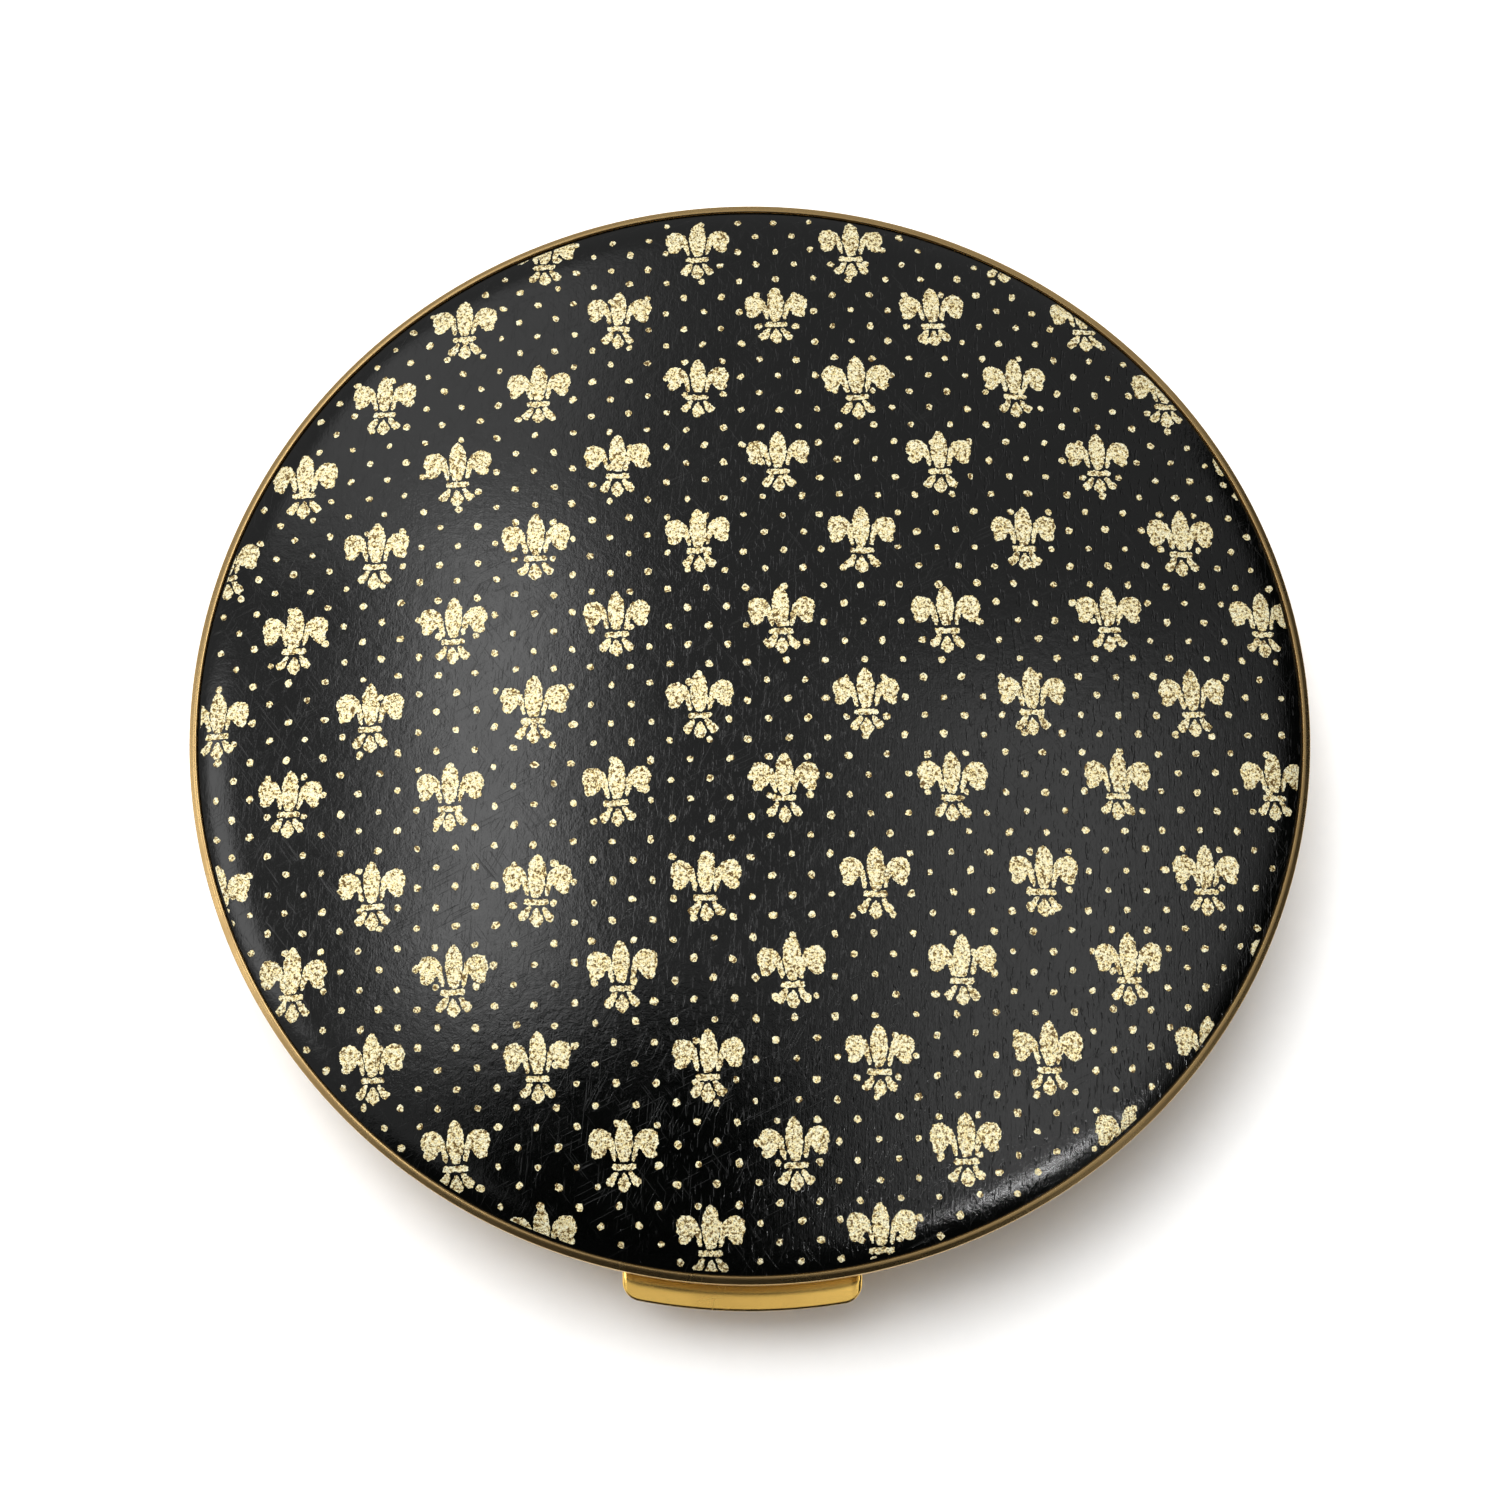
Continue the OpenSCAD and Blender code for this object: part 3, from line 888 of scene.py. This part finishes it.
    def leaf(
        self, outline: list[Point2], points: list[Point3], faces: list[Face], dice: random.Random
    ) -> None:
        """Adds one closed leaf of print that follows the dome.

        Args:
            outline: Its edge.
            points: Vertices so far, added to.
            faces: Faces so far, added to.
            dice: Source of the variation.
        """
        xs, ys = [p[0] for p in outline], [p[1] for p in outline]
        step = 0.3
        fill = [
            (x, y)
            for i in range(1, int((max(xs) - min(xs)) / step) + 1)
            for j in range(1, int((max(ys) - min(ys)) / step) + 1)
            if inside((x := min(xs) + i * step, y := min(ys) + j * step), outline)
        ]
        flat = [Vector(p) for p in [*outline, *fill]]
        cut = geometry.delaunay_2d_cdt(flat, [], [list(range(len(outline)))], 1, 1e-4)
        corners, tiles = cut[0], cut[2]
        first = len(points)
        for top in (True, False):
            for spot in corners:
                radius = min(spot.length, self.dome.radius)
                lift = self.thickness * dice.uniform(0.75, 1.25) if top else -self.sink
                points.append((spot.x, spot.y, self.dome.height(radius) + lift))
        count = len(corners)
        seen: dict[tuple[int, int], tuple[int, int]] = {}
        for tile in tiles:
            faces.append(tuple(first + k for k in tile))
            faces.append(tuple(first + count + k for k in reversed(tile)))
            for a, b in zip(tile, [*tile[1:], tile[0]]):
                key = (min(a, b), max(a, b))
                if key in seen:
                    seen[key] = (-1, -1)
                else:
                    seen[key] = (a, b)
        for a, b in seen.values():
            if a >= 0:
                faces.append((first + b, first + a, first + count + a, first + count + b))

    def build_flowers(self) -> None:
        """Prints the flowers row by row, with the seam where the pattern was joined."""
        points: list[Point3] = []
        faces: list[Face] = []
        for row in range(-8, 8):
            for column in range(-8, 8):
                if (row + column) % 2:
                    continue
                x = self.flower_start[0] + column * self.flower_pitch[0]
                y = self.flower_start[1] + row * self.flower_pitch[1]
                if row <= self.seam_row:
                    x, y = x + self.seam_shift[0], y + self.seam_shift[1]
                x, y = self.turned((x, y))
                if math.hypot(x, y) > self.limit + 3.2:
                    continue
                dice = random.Random(self.seed * 1000 + row * 40 + column)
                parts = self.flower((x, y), dice)
                self.flowers.append(parts)
                for part in parts:
                    self.leaf(part, points, faces, dice)
        add_piece("gold_flowers", points, faces, PrintedGold(), "lid", sharp=60)

    def covered(self, spot: Point2) -> bool:
        """Whether a flower already covers the point."""
        return any(
            abs(part[0][0] - spot[0]) < 5 and abs(part[0][1] - spot[1]) < 5 and inside(spot, part)
            for parts in self.flowers
            for part in parts
        )

    def build_dots(self) -> None:
        """Prints the dots between the flowers."""
        points: list[Point3] = []
        faces: list[Face] = []
        turn = math.radians(self.dot_turn)
        sides = 12
        for row in range(-32, 33):
            for column in range(-32, 33):
                if (row + column) % 2:
                    continue
                u, v = column * self.dot_pitch[0], row * self.dot_pitch[1]
                x = self.dot_start[0] + u * math.cos(turn) - v * math.sin(turn)
                y = self.dot_start[1] + u * math.sin(turn) + v * math.cos(turn)
                x, y = self.turned((x, y))
                if math.hypot(x, y) > self.limit - 0.25:
                    continue
                dice = random.Random(self.seed + row * 97 + column * 7919)
                x, y = x + dice.gauss(0, 0.05), y + dice.gauss(0, 0.05)
                if self.covered((x, y)):
                    continue
                radius = self.dot_radius * dice.uniform(0.84, 1.12)
                long, lean = dice.uniform(0.88, 1.15), dice.uniform(0, math.pi)
                edge = []
                for side in range(sides):
                    angle = FULL_TURN * side / sides
                    oval = 1 + (long - 1) * math.cos(2 * (angle - lean))
                    reach = radius * (1 + dice.uniform(-0.2, 0.14)) * oval
                    edge.append((x + reach * math.cos(angle), y + reach * math.sin(angle)))
                first = len(points)
                for lift in (self.thickness, -self.sink):
                    for px, py in edge:
                        radius_here = min(math.hypot(px, py), self.dome.radius)
                        points.append((px, py, self.dome.height(radius_here) + lift))
                for lift in (self.thickness * 1.4, -self.sink):
                    points.append((x, y, self.dome.height(math.hypot(x, y)) + lift))
                top, under = first + 2 * sides, first + 2 * sides + 1
                for side in range(sides):
                    after = (side + 1) % sides
                    a, b = first + side, first + after
                    faces.append((top, a, b))
                    faces.append((under, b + sides, a + sides))
                    faces.append((b, a, a + sides, b + sides))
        add_piece("gold_dots", points, faces, PrintedGold(), "lid", sharp=60)


@dataclass
class Rim:
    """The rolled rim that holds the panel in the lid."""

    outer: float = 41.0
    inner: float = 40.44
    low: float = 10.4
    crown: float = 11.46
    slope: float = 0.26

    def outline(self) -> list[Point2]:
        """Closed outline of the rim's section, sloping outward with rolled edges."""
        turn = [math.radians(a) for a in range(0, 91, 15)]
        fall = self.slope * (self.outer - self.inner)
        big, small = 0.1, 0.05
        x, z = self.outer - big, self.crown - fall - big
        crown = [(x + big * math.cos(a), z + big * math.sin(a)) for a in turn]
        crown.append(((self.outer + self.inner) / 2, self.crown - 0.2 * fall))
        x, z = self.inner + small, self.crown - small
        crown += [(x - small * math.sin(a), z + small * math.cos(a)) for a in turn]
        return [
            (40.52, self.low), (self.outer - 0.05, self.low), (self.outer, self.low + 0.05),
            *crown, (self.inner, 11.2), (40.52, 11.1),
        ]  # fmt: skip

    def build(self) -> None:
        """Makes the rim."""
        points, faces = lathe(self.outline(), 288)
        finish = Gilt("bronze_rim", (0.62, 0.42, 0.18), (0.42, 0.25, 0.10), 0.22, Lay.TURNED, 0.001, 0.5)
        add_piece(
            "lid_rim", points, faces, finish, "lid",
            replaces=["lid_bezel"], sharp=50,
        )  # fmt: skip


@dataclass
class Lid:
    """The lid half: panel, print, rim, shell, mirror and its fittings."""

    dome: Dome = field(default_factory=Dome)

    def build(self) -> None:
        """Builds the lid's pieces and dresses its CAD nodes."""
        EnamelPanel(self.dome).build()
        pattern = Print(self.dome)
        pattern.build_flowers()
        pattern.build_dots()
        Rim().build()
        Workshop.dress_nodes(CASE_GILT, "lid_shell", "lid_hinge")
        Workshop.dress_nodes(INSIDE_GILT, "mirror_ring")
        Workshop.dress_nodes(Silvered(), "mirror_glass")
        Workshop.dress_nodes(Matt("mirror_card", (0.42, 0.33, 0.23), (0.33, 0.25, 0.17)), "mirror_backing")
        Workshop.dress_nodes(Pile("pad_felt", (0.38, 0.09, 0.08), (0.20, 0.04, 0.04), 6.0), "hold_down_pad")
        Workshop.dress_nodes(STEEL, "striker")


CASE_GILT = Gilt("gilt_case", (0.78, 0.55, 0.24), (0.44, 0.27, 0.10), 0.26, Lay.TURNED)
INSIDE_GILT = Gilt("gilt_inside", (0.90, 0.68, 0.33), (0.66, 0.45, 0.20), 0.30, Lay.TURNED)
CATCH_GILT = Gilt("gilt_catch", (0.94, 0.60, 0.15), (0.62, 0.33, 0.07), 0.18, Lay.DRAWN, 0.002, 0.3)
BRONZE = Gilt("bronze_parts", (0.58, 0.38, 0.18), (0.34, 0.20, 0.09), 0.36, Lay.SATIN)
STEEL = Gilt("steel_parts", (0.62, 0.62, 0.63), (0.40, 0.38, 0.36), 0.26, Lay.DRAWN)


# ---------------------------------------------------------------- the thumb catch


@dataclass
class ThumbBar:
    """The thumb bar, sloping down to its front edge, and the stem behind it.

    Attributes:
        half: Half its width.
        corner: Radius of its front corners.
        scoop: Depth of the dish in its top.
        lean: How much its top slopes down to the front.
        lip: Radius of its rounded front edge.
        end_roll: Length over which the top rolls down at each end.
        end_drop: How far it rolls down there.
        stations: Number of sections along it.
    """

    half: float = 8.45
    inner_r: float = 40.56
    outer_r: float = 42.6
    corner: float = 1.45
    low: float = 5.5
    top: float = 7.9
    scoop: float = 0.05
    lean: float = 0.25
    lip: float = 0.14
    end_roll: float = 0.42
    end_drop: float = 0.26
    stations: int = 97
    pivot: Point2 = (-37.5, 5.0)
    bore: float = 0.49
    tube: float = 1.0
    tube_half: float = 4.2
    stem_half: float = 4.0

    # Each pair is a distance down the front wall and how far the wall is tucked in there.
    FRONT_WALL = (
        (0.2, 0.02), (0.5, 0.06), (0.9, 0.12), (1.5, 0.20), (2.0, 0.28), (2.28, 0.40), (2.4, 0.56),
    )  # fmt: skip
    STEM = ((-40.75, 5.4), (-37.9, 5.4), (-37.9, 5.98), (-40.75, 5.98))

    def front(self, x: float) -> float:
        """Y of the bar's front edge at x, rounded at the corners."""
        centre_x = self.half - self.corner
        centre_y = math.sqrt((self.outer_r - self.corner) ** 2 - centre_x**2)
        tangent = centre_x * self.outer_r / (self.outer_r - self.corner)
        if abs(x) <= tangent:
            return -math.sqrt(self.outer_r**2 - x * x)
        reach = max(0.0, self.corner**2 - (abs(x) - centre_x) ** 2)
        return -(centre_y + math.sqrt(reach))

    def section(self, x: float) -> list[Point3]:
        """Closed section of the bar at x."""
        back = -math.sqrt(self.inner_r**2 - x * x)
        front = self.front(x)
        depth = back - front
        past = max(0.0, abs(x) - (self.half - self.end_roll)) / self.end_roll
        crest = self.top - self.end_drop * (1 - math.sqrt(max(0.0, 1 - past * past)))
        fade = 1 - min(1.0, max(0.0, (abs(x) - (self.half - 0.75)) / 0.5))
        fade = fade * fade * (3 - 2 * fade)
        loop = []
        for k in range(29):
            w = 0.015 + 0.97 * k / 28
            past = max(0.0, w - 0.38)
            dish = self.scoop * fade + self.lean * depth * past**2 / (past + 0.15)
            lip = max(0.0, 1 - depth * (1 - w) / self.lip)
            over = self.lip * (1 - math.sqrt(max(0.0, 1 - lip * lip)))
            loop.append((x, back - depth * w, crest - dish - over))
        crest = loop[-1][2]
        whole = self.FRONT_WALL[-1][0]
        for drop, tuck in self.FRONT_WALL:
            z = crest - drop * (crest - self.low) / whole
            loop.append((x, front + min(tuck, depth * 0.35), z))
        for w in (0.6, 0.3, 0.05):
            loop.append((x, back - depth * w, self.low))
        loop.append((x, back, self.low + 0.06))
        loop.append((x, back, loop[0][2] - 0.05))
        return loop

    def build(self) -> None:
        """Makes the bar and its stem."""
        points: list[Point3] = []
        faces: list[Face] = []
        for station in range(self.stations):
            angle = math.radians(-90 + 180 * station / (self.stations - 1))
            points += self.section(self.half * math.sin(angle))
        size = len(points) // self.stations
        for station in range(self.stations - 1):
            for k in range(size):
                a, b = station * size + k, station * size + (k + 1) % size
                faces.append((a, b, b + size, a + size))
        faces.append(tuple(range(size)))
        faces.append(tuple(reversed(range(len(points) - size, len(points)))))
        add_piece(
            "thumb_ledge", points, faces, CATCH_GILT, "thumb_catch",
            replaces=["thumb_bar"], sharp=38,
        )  # fmt: skip
        self.build_stem()
        Workshop.dress_nodes(STEEL, "catch_hook")

    def build_stem(self) -> None:
        """Makes the stem and the pivot tube it turns on."""
        sides = 32
        points: list[Point3] = []
        for x in (-self.tube_half, self.tube_half):
            for radius in (self.bore, self.tube):
                for k in range(sides):
                    angle = FULL_TURN * k / sides
                    y = self.pivot[0] + radius * math.cos(angle)
                    points.append((x, y, self.pivot[1] + radius * math.sin(angle)))
        faces: list[Face] = []
        tube, far_bore, far_tube = sides, 2 * sides, 3 * sides
        for k in range(sides):
            n = (k + 1) % sides
            faces.append((k, n, far_bore + n, far_bore + k))
            faces.append((tube + n, tube + k, far_tube + k, far_tube + n))
            faces.append((k, tube + k, tube + n, n))
            faces.append((far_bore + n, far_tube + n, far_tube + k, far_bore + k))
        first = len(points)
        points += [(x, y, z) for x in (-self.stem_half, self.stem_half) for y, z in self.STEM]
        box = ((0, 1, 2, 3), (7, 6, 5, 4), (0, 4, 5, 1), (1, 5, 6, 2), (2, 6, 7, 3), (3, 7, 4, 0))
        faces += [tuple(first + k for k in side) for side in box]
        add_piece("thumb_stem", points, faces, CATCH_GILT, "thumb_catch")


# ---------------------------------------------------------------- the base


@dataclass
class Puff:
    """Velour puff with a satin back and a ribbon."""

    low: float = 4.07
    top: float = 6.98
    radius: float = 29.4
    ribbon_width: float = 11.0
    ribbon_span: float = 23.0

    def outline(self) -> list[Point2]:
        """Half outline of the puff, closed on the axis."""
        half = (self.top - self.low) / 2
        middle = self.low + half
        edge = [
            (self.radius - half + half * math.cos(math.radians(a)), middle + half * math.sin(math.radians(a)))
            for a in range(-90, 91, 10)
        ]
        inner = [self.radius - half - step for step in (2, 5, 9, 13, 17, 21, 25)]
        low = [(r, self.low) for r in reversed(inner)]
        high = [(r, self.top) for r in inner]
        return [(0.0, self.low), *low, *edge, *high, (0.0, self.top)]

    def build(self) -> None:
        """Makes the puff and its ribbon."""
        dice = random.Random(7)
        points, faces = lathe(self.outline(), 160)
        shaped = []
        for x, y, z in points:
            radius = math.hypot(x, y)
            near_edge = max(0.0, (radius - 24.0) / 5.4)
            ripple = noise.noise(Vector((x * 0.5, y * 0.5, z * 0.5)))
            draw = 1 - near_edge * 0.018 * (0.5 + ripple)
            lift = 0.05 * noise.noise(Vector((x * 1.3, y * 1.3, z))) + dice.uniform(-0.015, 0.015)
            shaped.append((x * draw, y * draw, min(self.top, max(self.low, z + lift))))
        velour = Pile("puff_velour", (0.90, 0.66, 0.60), (0.72, 0.45, 0.40), 3.2, 0.25, 0.8)
        body = add_piece(
            "velour_puff", shaped, faces, velour, "base",
            replaces=["puff"], sharp=80,
        )  # fmt: skip
        self.build_ribbon()

    def build_ribbon(self) -> None:
        """Makes the satin ribbon, arched over the back."""
        foot, thick = self.top + 0.27, 0.11
        columns, rows = 48, 10
        points: list[Point3] = []
        for lift in (0.0, thick):
            for column in range(columns + 1):
                u = -1 + 2 * column / columns
                for row in range(rows + 1):
                    v = -1 + 2 * row / rows
                    z = foot + 0.2 * (1 + math.cos(math.pi * u)) + lift * (1 - 0.35 * v**8)
                    sag = 0.05 * (1 - v * v) * (1 - u * u)
                    y = self.ribbon_width / 2 * v * (1 - 0.03 * (1 - u * u))
                    points.append((self.ribbon_span * u, y, z + sag))
        size = (columns + 1) * (rows + 1)
        faces: list[Face] = []
        for column in range(columns):
            for row in range(rows):
                a = column * (rows + 1) + row
                b, c, d = a + 1, a + rows + 2, a + rows + 1
                faces.append((a, b, c, d))
                faces.append((d + size, c + size, b + size, a + size))
        edge = [c * (rows + 1) for c in range(columns + 1)]
        edge += [columns * (rows + 1) + r for r in range(1, rows + 1)]
        edge += [c * (rows + 1) + rows for c in range(columns - 1, -1, -1)]
        edge += list(range(rows - 1, 0, -1))
        for a, b in zip(edge, edge[1:] + edge[:1]):
            faces.append((a, b, b + size, a + size))
        satin = Woven("puff_ribbon", (0.86, 0.50, 0.46), (0.66, 0.33, 0.30), 0.5, 0.34, ratio=0.6)
        ribbon = add_piece(
            "satin_ribbon", points, faces, satin, "base",
            replaces=["puff_ribbon"], sharp=60,
        )  # fmt: skip


@dataclass
class Base:
    """The base half: case, tray, powder, sifter, puff, hinges and catch bracket."""

    gauze_radius: float = 31.5
    gauze_z: float = 3.86

    def build_gauze(self) -> None:
        """Makes the stretched gauze of the sifter."""
        rings = [self.gauze_radius * k / 12 for k in range(12, 0, -1)]
        sag = [(r, self.gauze_z + 0.10 - 0.04 * (1 - (r / self.gauze_radius) ** 2)) for r in rings]
        top = [*sag, (0.0, self.gauze_z + 0.06)]
        under = [(0.0, self.gauze_z + 0.02), *((r, z - 0.05) for r, z in reversed(sag))]
        points, faces = lathe([*top, *under], 96)
        weave = Woven("sifter_cloth", (0.86, 0.82, 0.74), (0.70, 0.66, 0.58), 0.7, 0.8, open_share=0.75)
        gauze = add_piece(
            "sifter_cloth", points, faces, weave, "base",
            replaces=["sifter_gauze"], sharp=80,
        )  # fmt: skip

    def build(self) -> None:
        """Builds the base's pieces and dresses its CAD nodes."""
        Workshop.dress_nodes(CASE_GILT, "base_shell", "base_hinge")
        Workshop.dress_nodes(INSIDE_GILT, "inner_tray", "sifter_ring")
        Workshop.dress_nodes(BRONZE, "inner_bracket", "deck_rivets", "catch_bracket")
        Workshop.dress_nodes(STEEL, "hinge_pin", "inner_pin", "inner_spring", "catch_pin", "catch_spring")
        powder = Matt("face_powder", (0.82, 0.62, 0.50), (0.74, 0.53, 0.41), 3.0, 0.12)
        Workshop.dress_nodes(powder, "powder_bed")
        satin = Woven("puff_satin", (0.88, 0.62, 0.56), (0.72, 0.46, 0.41), 0.6, 0.36)
        Workshop.dress_nodes(satin, "puff_backing")
        self.build_gauze()
        Puff().build()


@dataclass
class InnerLid:
    """The inner lid over the powder well."""

    rays: int = 120

    def build(self) -> None:
        """Dresses the inner lid with a sunburst and its knuckle and tab with satin gilt."""
        bright, dull = (0.91, 0.69, 0.34), (0.68, 0.46, 0.20)
        burst = Gilt("inner_lid_gilt", bright, dull, 0.24, Lay.SUNBURST, 0.02, 0.7, self.rays)
        Workshop.dress_nodes(burst, "inner_lid")
        Workshop.dress_nodes(INSIDE_GILT, "inner_knuckle", "inner_tab")


# ---------------------------------------------------------------- the studio


LID_FACE = ("enamel_panel", "gold_flowers", "gold_dots")


@dataclass(frozen=True)
class Softbox:
    """A rectangular light above the compact, aimed at it.

    Attributes:
        name: The light's name.
        bearing: X and Y of its place for each metre of height.
        height: Height in metres.
        size: Width and length in metres.
        radiance: Brightness of its face.
        mirrored: Whether glossy pieces show its reflection.
        only: Names of the pieces it lights, or none for all of them.
    """

    name: str
    bearing: Point2
    height: float
    size: Point2
    radiance: float
    mirrored: bool = True
    only: tuple[str, ...] = ()

    def build(self, swing: Matrix) -> None:
        """Makes the light.

        Args:
            swing: Turn of the whole studio about the compact.
        """
        light = bpy.data.lights.new(self.name, "AREA")
        light.shape = "RECTANGLE"
        light.size, light.size_y = self.size
        light.energy = self.radiance * math.pi * self.size[0] * self.size[1]
        lamp = bpy.data.objects.new(self.name, light)
        bpy.context.scene.collection.objects.link(lamp)
        place = Vector((self.bearing[0] * self.height, self.bearing[1] * self.height, self.height))
        away = place.normalized()
        across = Vector((0, 1, 0)).cross(away).normalized()
        aim = Matrix((across, away.cross(across), away)).transposed().to_4x4()
        lamp.matrix_world = swing @ Matrix.Translation(place) @ aim
        lamp.visible_camera = False
        lamp.visible_glossy = self.mirrored
        if self.only:
            lit = bpy.data.collections.new(self.name)
            for name in self.only:
                lit.objects.link(bpy.data.objects[name])
            lamp.light_linking.receiver_collection = lit


@dataclass
class Studio:
    """Pale floor, soft lights, dark cards that the metal mirrors, and the camera."""

    ambient: float = 0.42
    lens: float = 60.45
    eye: Point3 = (0.56, -51.4, 188.48)
    tilt: Point3 = (15.354, 0.17, -0.827)
    swing: float = 1.5
    boxes: tuple[Softbox, ...] = (
        Softbox("glow", (-0.30, 0.22), 0.9, (0.17, 0.52), 3.0),
        Softbox("edge", (0.43, -0.45), 0.7, (0.10, 0.08), 46.0, True, LID_FACE),
        Softbox("side", (0.33, 0.02), 0.8, (0.26, 0.50), 0.95, True, LID_FACE),
        Softbox("haze", (-0.42, 0.80), 0.9, (0.45, 0.45), 0.8),
        Softbox("window", (-0.95, 0.10), 0.7, (0.26, 0.44), 2.0),
        Softbox("sky", (0.0, 0.0), 0.8, (1.0, 1.0), 0.95, False),
        Softbox("key", (-0.20, 0.42), 0.8, (0.7, 0.7), 5.7, False),
        Softbox("catch_front", (0.0, -0.66), 0.16, (0.28, 0.05), 0.72, True, ("thumb_ledge",)),
        Softbox("catch_left", (-1.1, 0.0), 0.35, (0.3, 0.3), 2.2, True, ("thumb_ledge",)),
        Softbox("catch_right", (1.1, 0.0), 0.35, (0.3, 0.3), 2.2, True, ("thumb_ledge",)),
    )

    def build_floor(self) -> None:
        """Makes the floor, a wide sheet with a gentle rise at its far edges."""
        steps, half = 24, 1.6
        mesh = bpy.data.meshes.new("floor")
        points = []
        for j in range(steps + 1):
            for i in range(steps + 1):
                x, y = (-half + 2 * half * i / steps), (-half + 2 * half * j / steps)
                points.append((x, y, -0.00002 + 0.02 * max(0.0, math.hypot(x, y) - 1.2) ** 2))
        row = steps + 1
        starts = [j * row + i for j in range(steps) for i in range(steps)]
        faces = [(a, a + 1, a + row + 1, a + row) for a in starts]
        mesh.from_pydata(points, [], faces)
        floor = bpy.data.objects.new("floor", mesh)
        bpy.context.scene.collection.objects.link(floor)
        Workshop.dress(floor, Matt("floor_paper", (0.93, 0.93, 0.925), (0.92, 0.92, 0.915), 0.5, 0.01, 0.95))

    def hang(self, name: str, edge: Sequence[Point3]) -> bpy.types.Object:
        """Hangs a flat dark card that the camera itself does not see.

        Args:
            name: The card's name.
            edge: Its corners in millimetres.

        Returns:
            The card.
        """
        mesh = bpy.data.meshes.new(name)
        mesh.from_pydata([Vector(p) * MM for p in edge], [], [tuple(range(len(edge)))])
        card = bpy.data.objects.new(name, mesh)
        bpy.context.scene.collection.objects.link(card)
        Workshop.dress(card, Matt("dark_card", (0.004, 0.004, 0.004), (0.003, 0.003, 0.003)))
        card.matrix_world = self.turn()
        card.visible_camera = False
        return card

    def stand(self, name: str, start: Point2, end: Point2, height: float) -> None:
        """Stands a dark card on the floor.

        Args:
            name: The card's name.
            start: One lower corner in millimetres.
            end: The other lower corner.
            height: Its height.
        """
        self.hang(name, [(*start, 0.0), (*end, 0.0), (*end, height), (*start, height)])

    def build_cards(self) -> None:
        """Makes the round card beside the camera and the two tall cards in front and at the right."""
        centre, half, corner, height = (-31.0, -88.0), (50.0, 60.0), 46.0, 190.0
        edge = []
        for quarter, (sx, sy) in enumerate(((1, 1), (-1, 1), (-1, -1), (1, -1))):
            for step in range(13):
                angle = math.radians(90 * quarter + 90 * step / 12)
                x = centre[0] + sx * (half[0] - corner) + corner * math.cos(angle)
                y = centre[1] + sy * (half[1] - corner) + corner * math.sin(angle)
                edge.append((x, y, height))
        card = self.hang("round_card", edge)
        card.visible_shadow = False
        card.visible_diffuse = False
        self.stand("front_card", (-450.0, -300.0), (300.0, -300.0), 700.0)
        self.stand("side_card", (300.0, -300.0), (300.0, 300.0), 330.0)

    def turn(self) -> Matrix:
        """Turn of the whole studio about the compact."""
        return Matrix.Rotation(math.radians(self.swing), 4, "Z")

    def build_camera(self) -> None:
        """Makes the camera, above the front edge of the lid."""
        lens = bpy.data.cameras.new("camera")
        lens.lens, lens.sensor_width = self.lens, 36.0
        lens.clip_start, lens.clip_end = 0.01, 20.0
        camera = bpy.data.objects.new("camera", lens)
        bpy.context.scene.collection.objects.link(camera)
        pitch, roll, yaw = (math.radians(a) for a in self.tilt)
        aim = Matrix.Rotation(roll, 4, "Y") @ Matrix.Rotation(pitch, 4, "X") @ Matrix.Rotation(yaw, 4, "Z")
        camera.matrix_world = self.turn() @ Matrix.Translation(Vector(self.eye) * MM) @ aim
        bpy.context.scene.camera = camera

    def build(self) -> None:
        """Builds the whole studio."""
        world = bpy.data.worlds.new("studio")
        world.use_nodes = True
        sky = world.node_tree.nodes["Background"]
        sky.inputs["Color"].default_value = (1.0, 1.0, 1.0, 1.0)
        sky.inputs["Strength"].default_value = self.ambient
        bpy.context.scene.world = world
        bpy.context.scene.view_settings.view_transform = "Standard"
        self.build_floor()
        self.build_cards()
        for box in self.boxes:
            box.build(self.turn())
        self.build_camera()


def main() -> None:
    """Builds every piece in order."""
    logging.basicConfig(level=logging.INFO, format="%(message)s")
    Base().build()
    InnerLid().build()
    ThumbBar().build()
    Lid().build()
    Studio().build()


if __name__ == "__main__":
    main()
